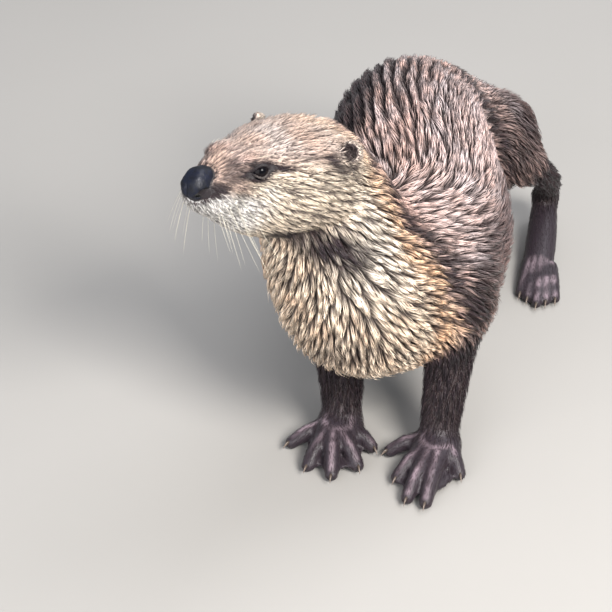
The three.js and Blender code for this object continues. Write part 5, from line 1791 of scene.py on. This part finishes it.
class OTTER_OT_nose(bpy.types.Operator):
    """Build the nose pad"""

    bl_idname = "otter.nose"
    bl_label = "Nose"

    def execute(self, context):
        make_groups()
        finish_piece(make_nose(), nose_material(context.scene.otter_face), "nose", "nose")
        return {"FINISHED"}


class OTTER_OT_eyes(bpy.types.Operator):
    """Build both eyeballs"""

    bl_idname = "otter.eyes"
    bl_label = "Eyes"

    def execute(self, context):
        material = eye_material(context.scene.otter_face)
        for s in SIDES:
            finish_piece(make_eye(s), material, "eye", "eye_left" if s > 0 else "eye_right")
        return {"FINISHED"}


class OTTER_OT_claws(bpy.types.Operator):
    """Build the claws of all four feet"""

    bl_idname = "otter.claws"
    bl_label = "Claws"

    def execute(self, context):
        material = horn_material(context.scene.otter_face)
        for s in SIDES:
            side = "left" if s > 0 else "right"
            for pair, toes in (("fore", fore_toes(s)), ("hind", hind_toes(s))):
                claws = make_claws(f"claws_{pair}_{side}", toes)
                finish_piece(claws, material, "claw", *[f"{pair}_claw_{side}_{i}" for i in range(1, 6)])
        return {"FINISHED"}


class OTTER_OT_whiskers(bpy.types.Operator):
    """Build the whiskers"""

    bl_idname = "otter.whiskers"
    bl_label = "Whiskers"

    def execute(self, context):
        face = context.scene.otter_face
        whiskers = make_whiskers(face.whisker_count, face.whisker_radius)
        finish_piece(whiskers, whisker_material(face), "coat_pale")
        return {"FINISHED"}


class OTTER_OT_coat(bpy.types.Operator):
    """Grow the coat over the skin, in locks drawn into wet clumps"""

    bl_idname = "otter.coat"
    bl_label = "Coat"

    def execute(self, context):
        make_groups()
        coat = context.scene.otter_coat
        skin = bpy.data.objects.get("skin")
        if skin is None:
            raise RuntimeError("build the skin before the coat")
        material = coat_material(coat)
        for piece in make_coat(skin, coat.density * (1.0)):
            piece.data.materials.append(material)
            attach(piece, BODY)
        return {"FINISHED"}


# ---------- stage ----------
CAMERA_AT = (303.0, -1433.5, 1161.1)
MIDDLE = (-10, 150, 110)         # what the lights face
FLOOR_HALF, FLOOR_LOW = 6.0, -0.0002    # half of the floor's side and its height, metres
# Lights: name, place, size, setting that holds its power, colour
LIGHTS = (
    ("key", (1150, -950, 1450), 0.8, "key", (1.0, 0.97, 0.93)),
    ("fill", (-700, -1500, 700), 1.5, "fill", (0.98, 0.97, 1.0)),
    ("top", (350, 800, 1500), 1.0, "top", (0.97, 0.97, 1.0)),
)


def look_at(made, place, target):
    """Puts a camera or light at a place, facing the target, both in millimetres."""
    made.location = Vector(np.array(place) * MM + SHIFT)
    way = Vector(np.array(target, float) - place)
    made.rotation_mode = "QUATERNION"
    made.rotation_quaternion = way.to_track_quat("-Z", "Y")
    bpy.context.scene.collection.objects.link(made)


def make_floor(colour):
    """Plain pale floor, just under the soles."""
    mesh = bpy.data.meshes.new("floor")
    corners = [(x * FLOOR_HALF, y * FLOOR_HALF, FLOOR_LOW) for x, y in ((-1, -1), (1, -1), (1, 1), (-1, 1))]
    mesh.from_pydata(corners, [], [(0, 1, 2, 3)])
    floor = bpy.data.objects.new("floor", mesh)
    bpy.context.scene.collection.objects.link(floor)
    material, tree, shader = new_material("Floor")
    cloud = noise(tree, own_place(tree), 5.0, 5.0)
    tree.links.new(mixed(tree, cloud, rgba(colour, 0.94), rgba(colour)), shader.inputs["Base Color"])
    shader.inputs["Roughness"].default_value = 0.75
    mesh.materials.append(material)


class OTTER_OT_stage(bpy.types.Operator):
    """Set up the floor, the lights and the camera"""

    bl_idname = "otter.stage"
    bl_label = "Stage"

    def execute(self, context):
        stage = context.scene.otter_stage
        make_floor(tuple(stage.floor))
        for name, place, size, power, colour in LIGHTS:
            light = bpy.data.lights.new(name, "AREA")
            light.energy = getattr(stage, power)
            light.size = size
            light.color = colour
            look_at(bpy.data.objects.new(name, light), place, MIDDLE)
        world = bpy.data.worlds.new("studio")
        world.use_nodes = True
        world.node_tree.nodes["Background"].inputs[0].default_value = (0.80, 0.85, 0.92, 1)
        world.node_tree.nodes["Background"].inputs[1].default_value = stage.sky
        context.scene.world = world
        camera = bpy.data.cameras.new("camera")
        camera.lens = stage.lens
        camera.clip_end = 30
        view = bpy.data.objects.new("camera", camera)
        a, e = stage.azimuth, stage.elevation
        back = np.array([math.sin(a) * math.cos(e), -math.cos(a) * math.cos(e), math.sin(e)])
        look_at(view, CAMERA_AT, np.array(CAMERA_AT) - back * 1000)
        context.scene.camera = view
        context.scene.view_settings.view_transform = "Standard"
        return {"FINISHED"}


class OTTER_PT_panel(bpy.types.Panel):
    """Otter's building steps and settings"""

    bl_idname = "OTTER_PT_panel"
    bl_label = "River otter"
    bl_space_type = "VIEW_3D"
    bl_region_type = "UI"
    bl_category = "Otter"

    def draw(self, context):
        for step in STEPS:
            self.layout.operator(step.bl_idname)
        for name in ("otter_coat", "otter_face", "otter_stage"):
            box = self.layout.box()
            group = getattr(context.scene, name)
            for key in group.__annotations__:
                box.prop(group, key)


STEPS = (OTTER_OT_skin, OTTER_OT_nose, OTTER_OT_eyes, OTTER_OT_claws, OTTER_OT_whiskers, OTTER_OT_coat,
         OTTER_OT_stage)
CLASSES = (OtterCoat, OtterFace, OtterStage, *STEPS, OTTER_PT_panel)


def register():
    """Registers the classes and their settings."""
    for cls in CLASSES:
        bpy.utils.register_class(cls)
    bpy.types.Scene.otter_coat = PointerProperty(type=OtterCoat)
    bpy.types.Scene.otter_face = PointerProperty(type=OtterFace)
    bpy.types.Scene.otter_stage = PointerProperty(type=OtterStage)


def unregister():
    """Takes the classes and their settings away again."""
    for name in ("otter_coat", "otter_face", "otter_stage"):
        delattr(bpy.types.Scene, name)
    for cls in reversed(CLASSES):
        bpy.utils.unregister_class(cls)


def main():
    """Builds everything in order."""
    register()
    bpy.ops.otter.skin()
    bpy.ops.otter.nose()
    bpy.ops.otter.eyes()
    bpy.ops.otter.claws()
    bpy.ops.otter.whiskers()
    bpy.ops.otter.coat()
    bpy.ops.otter.stage()


if __name__ == "__main__":
    main()
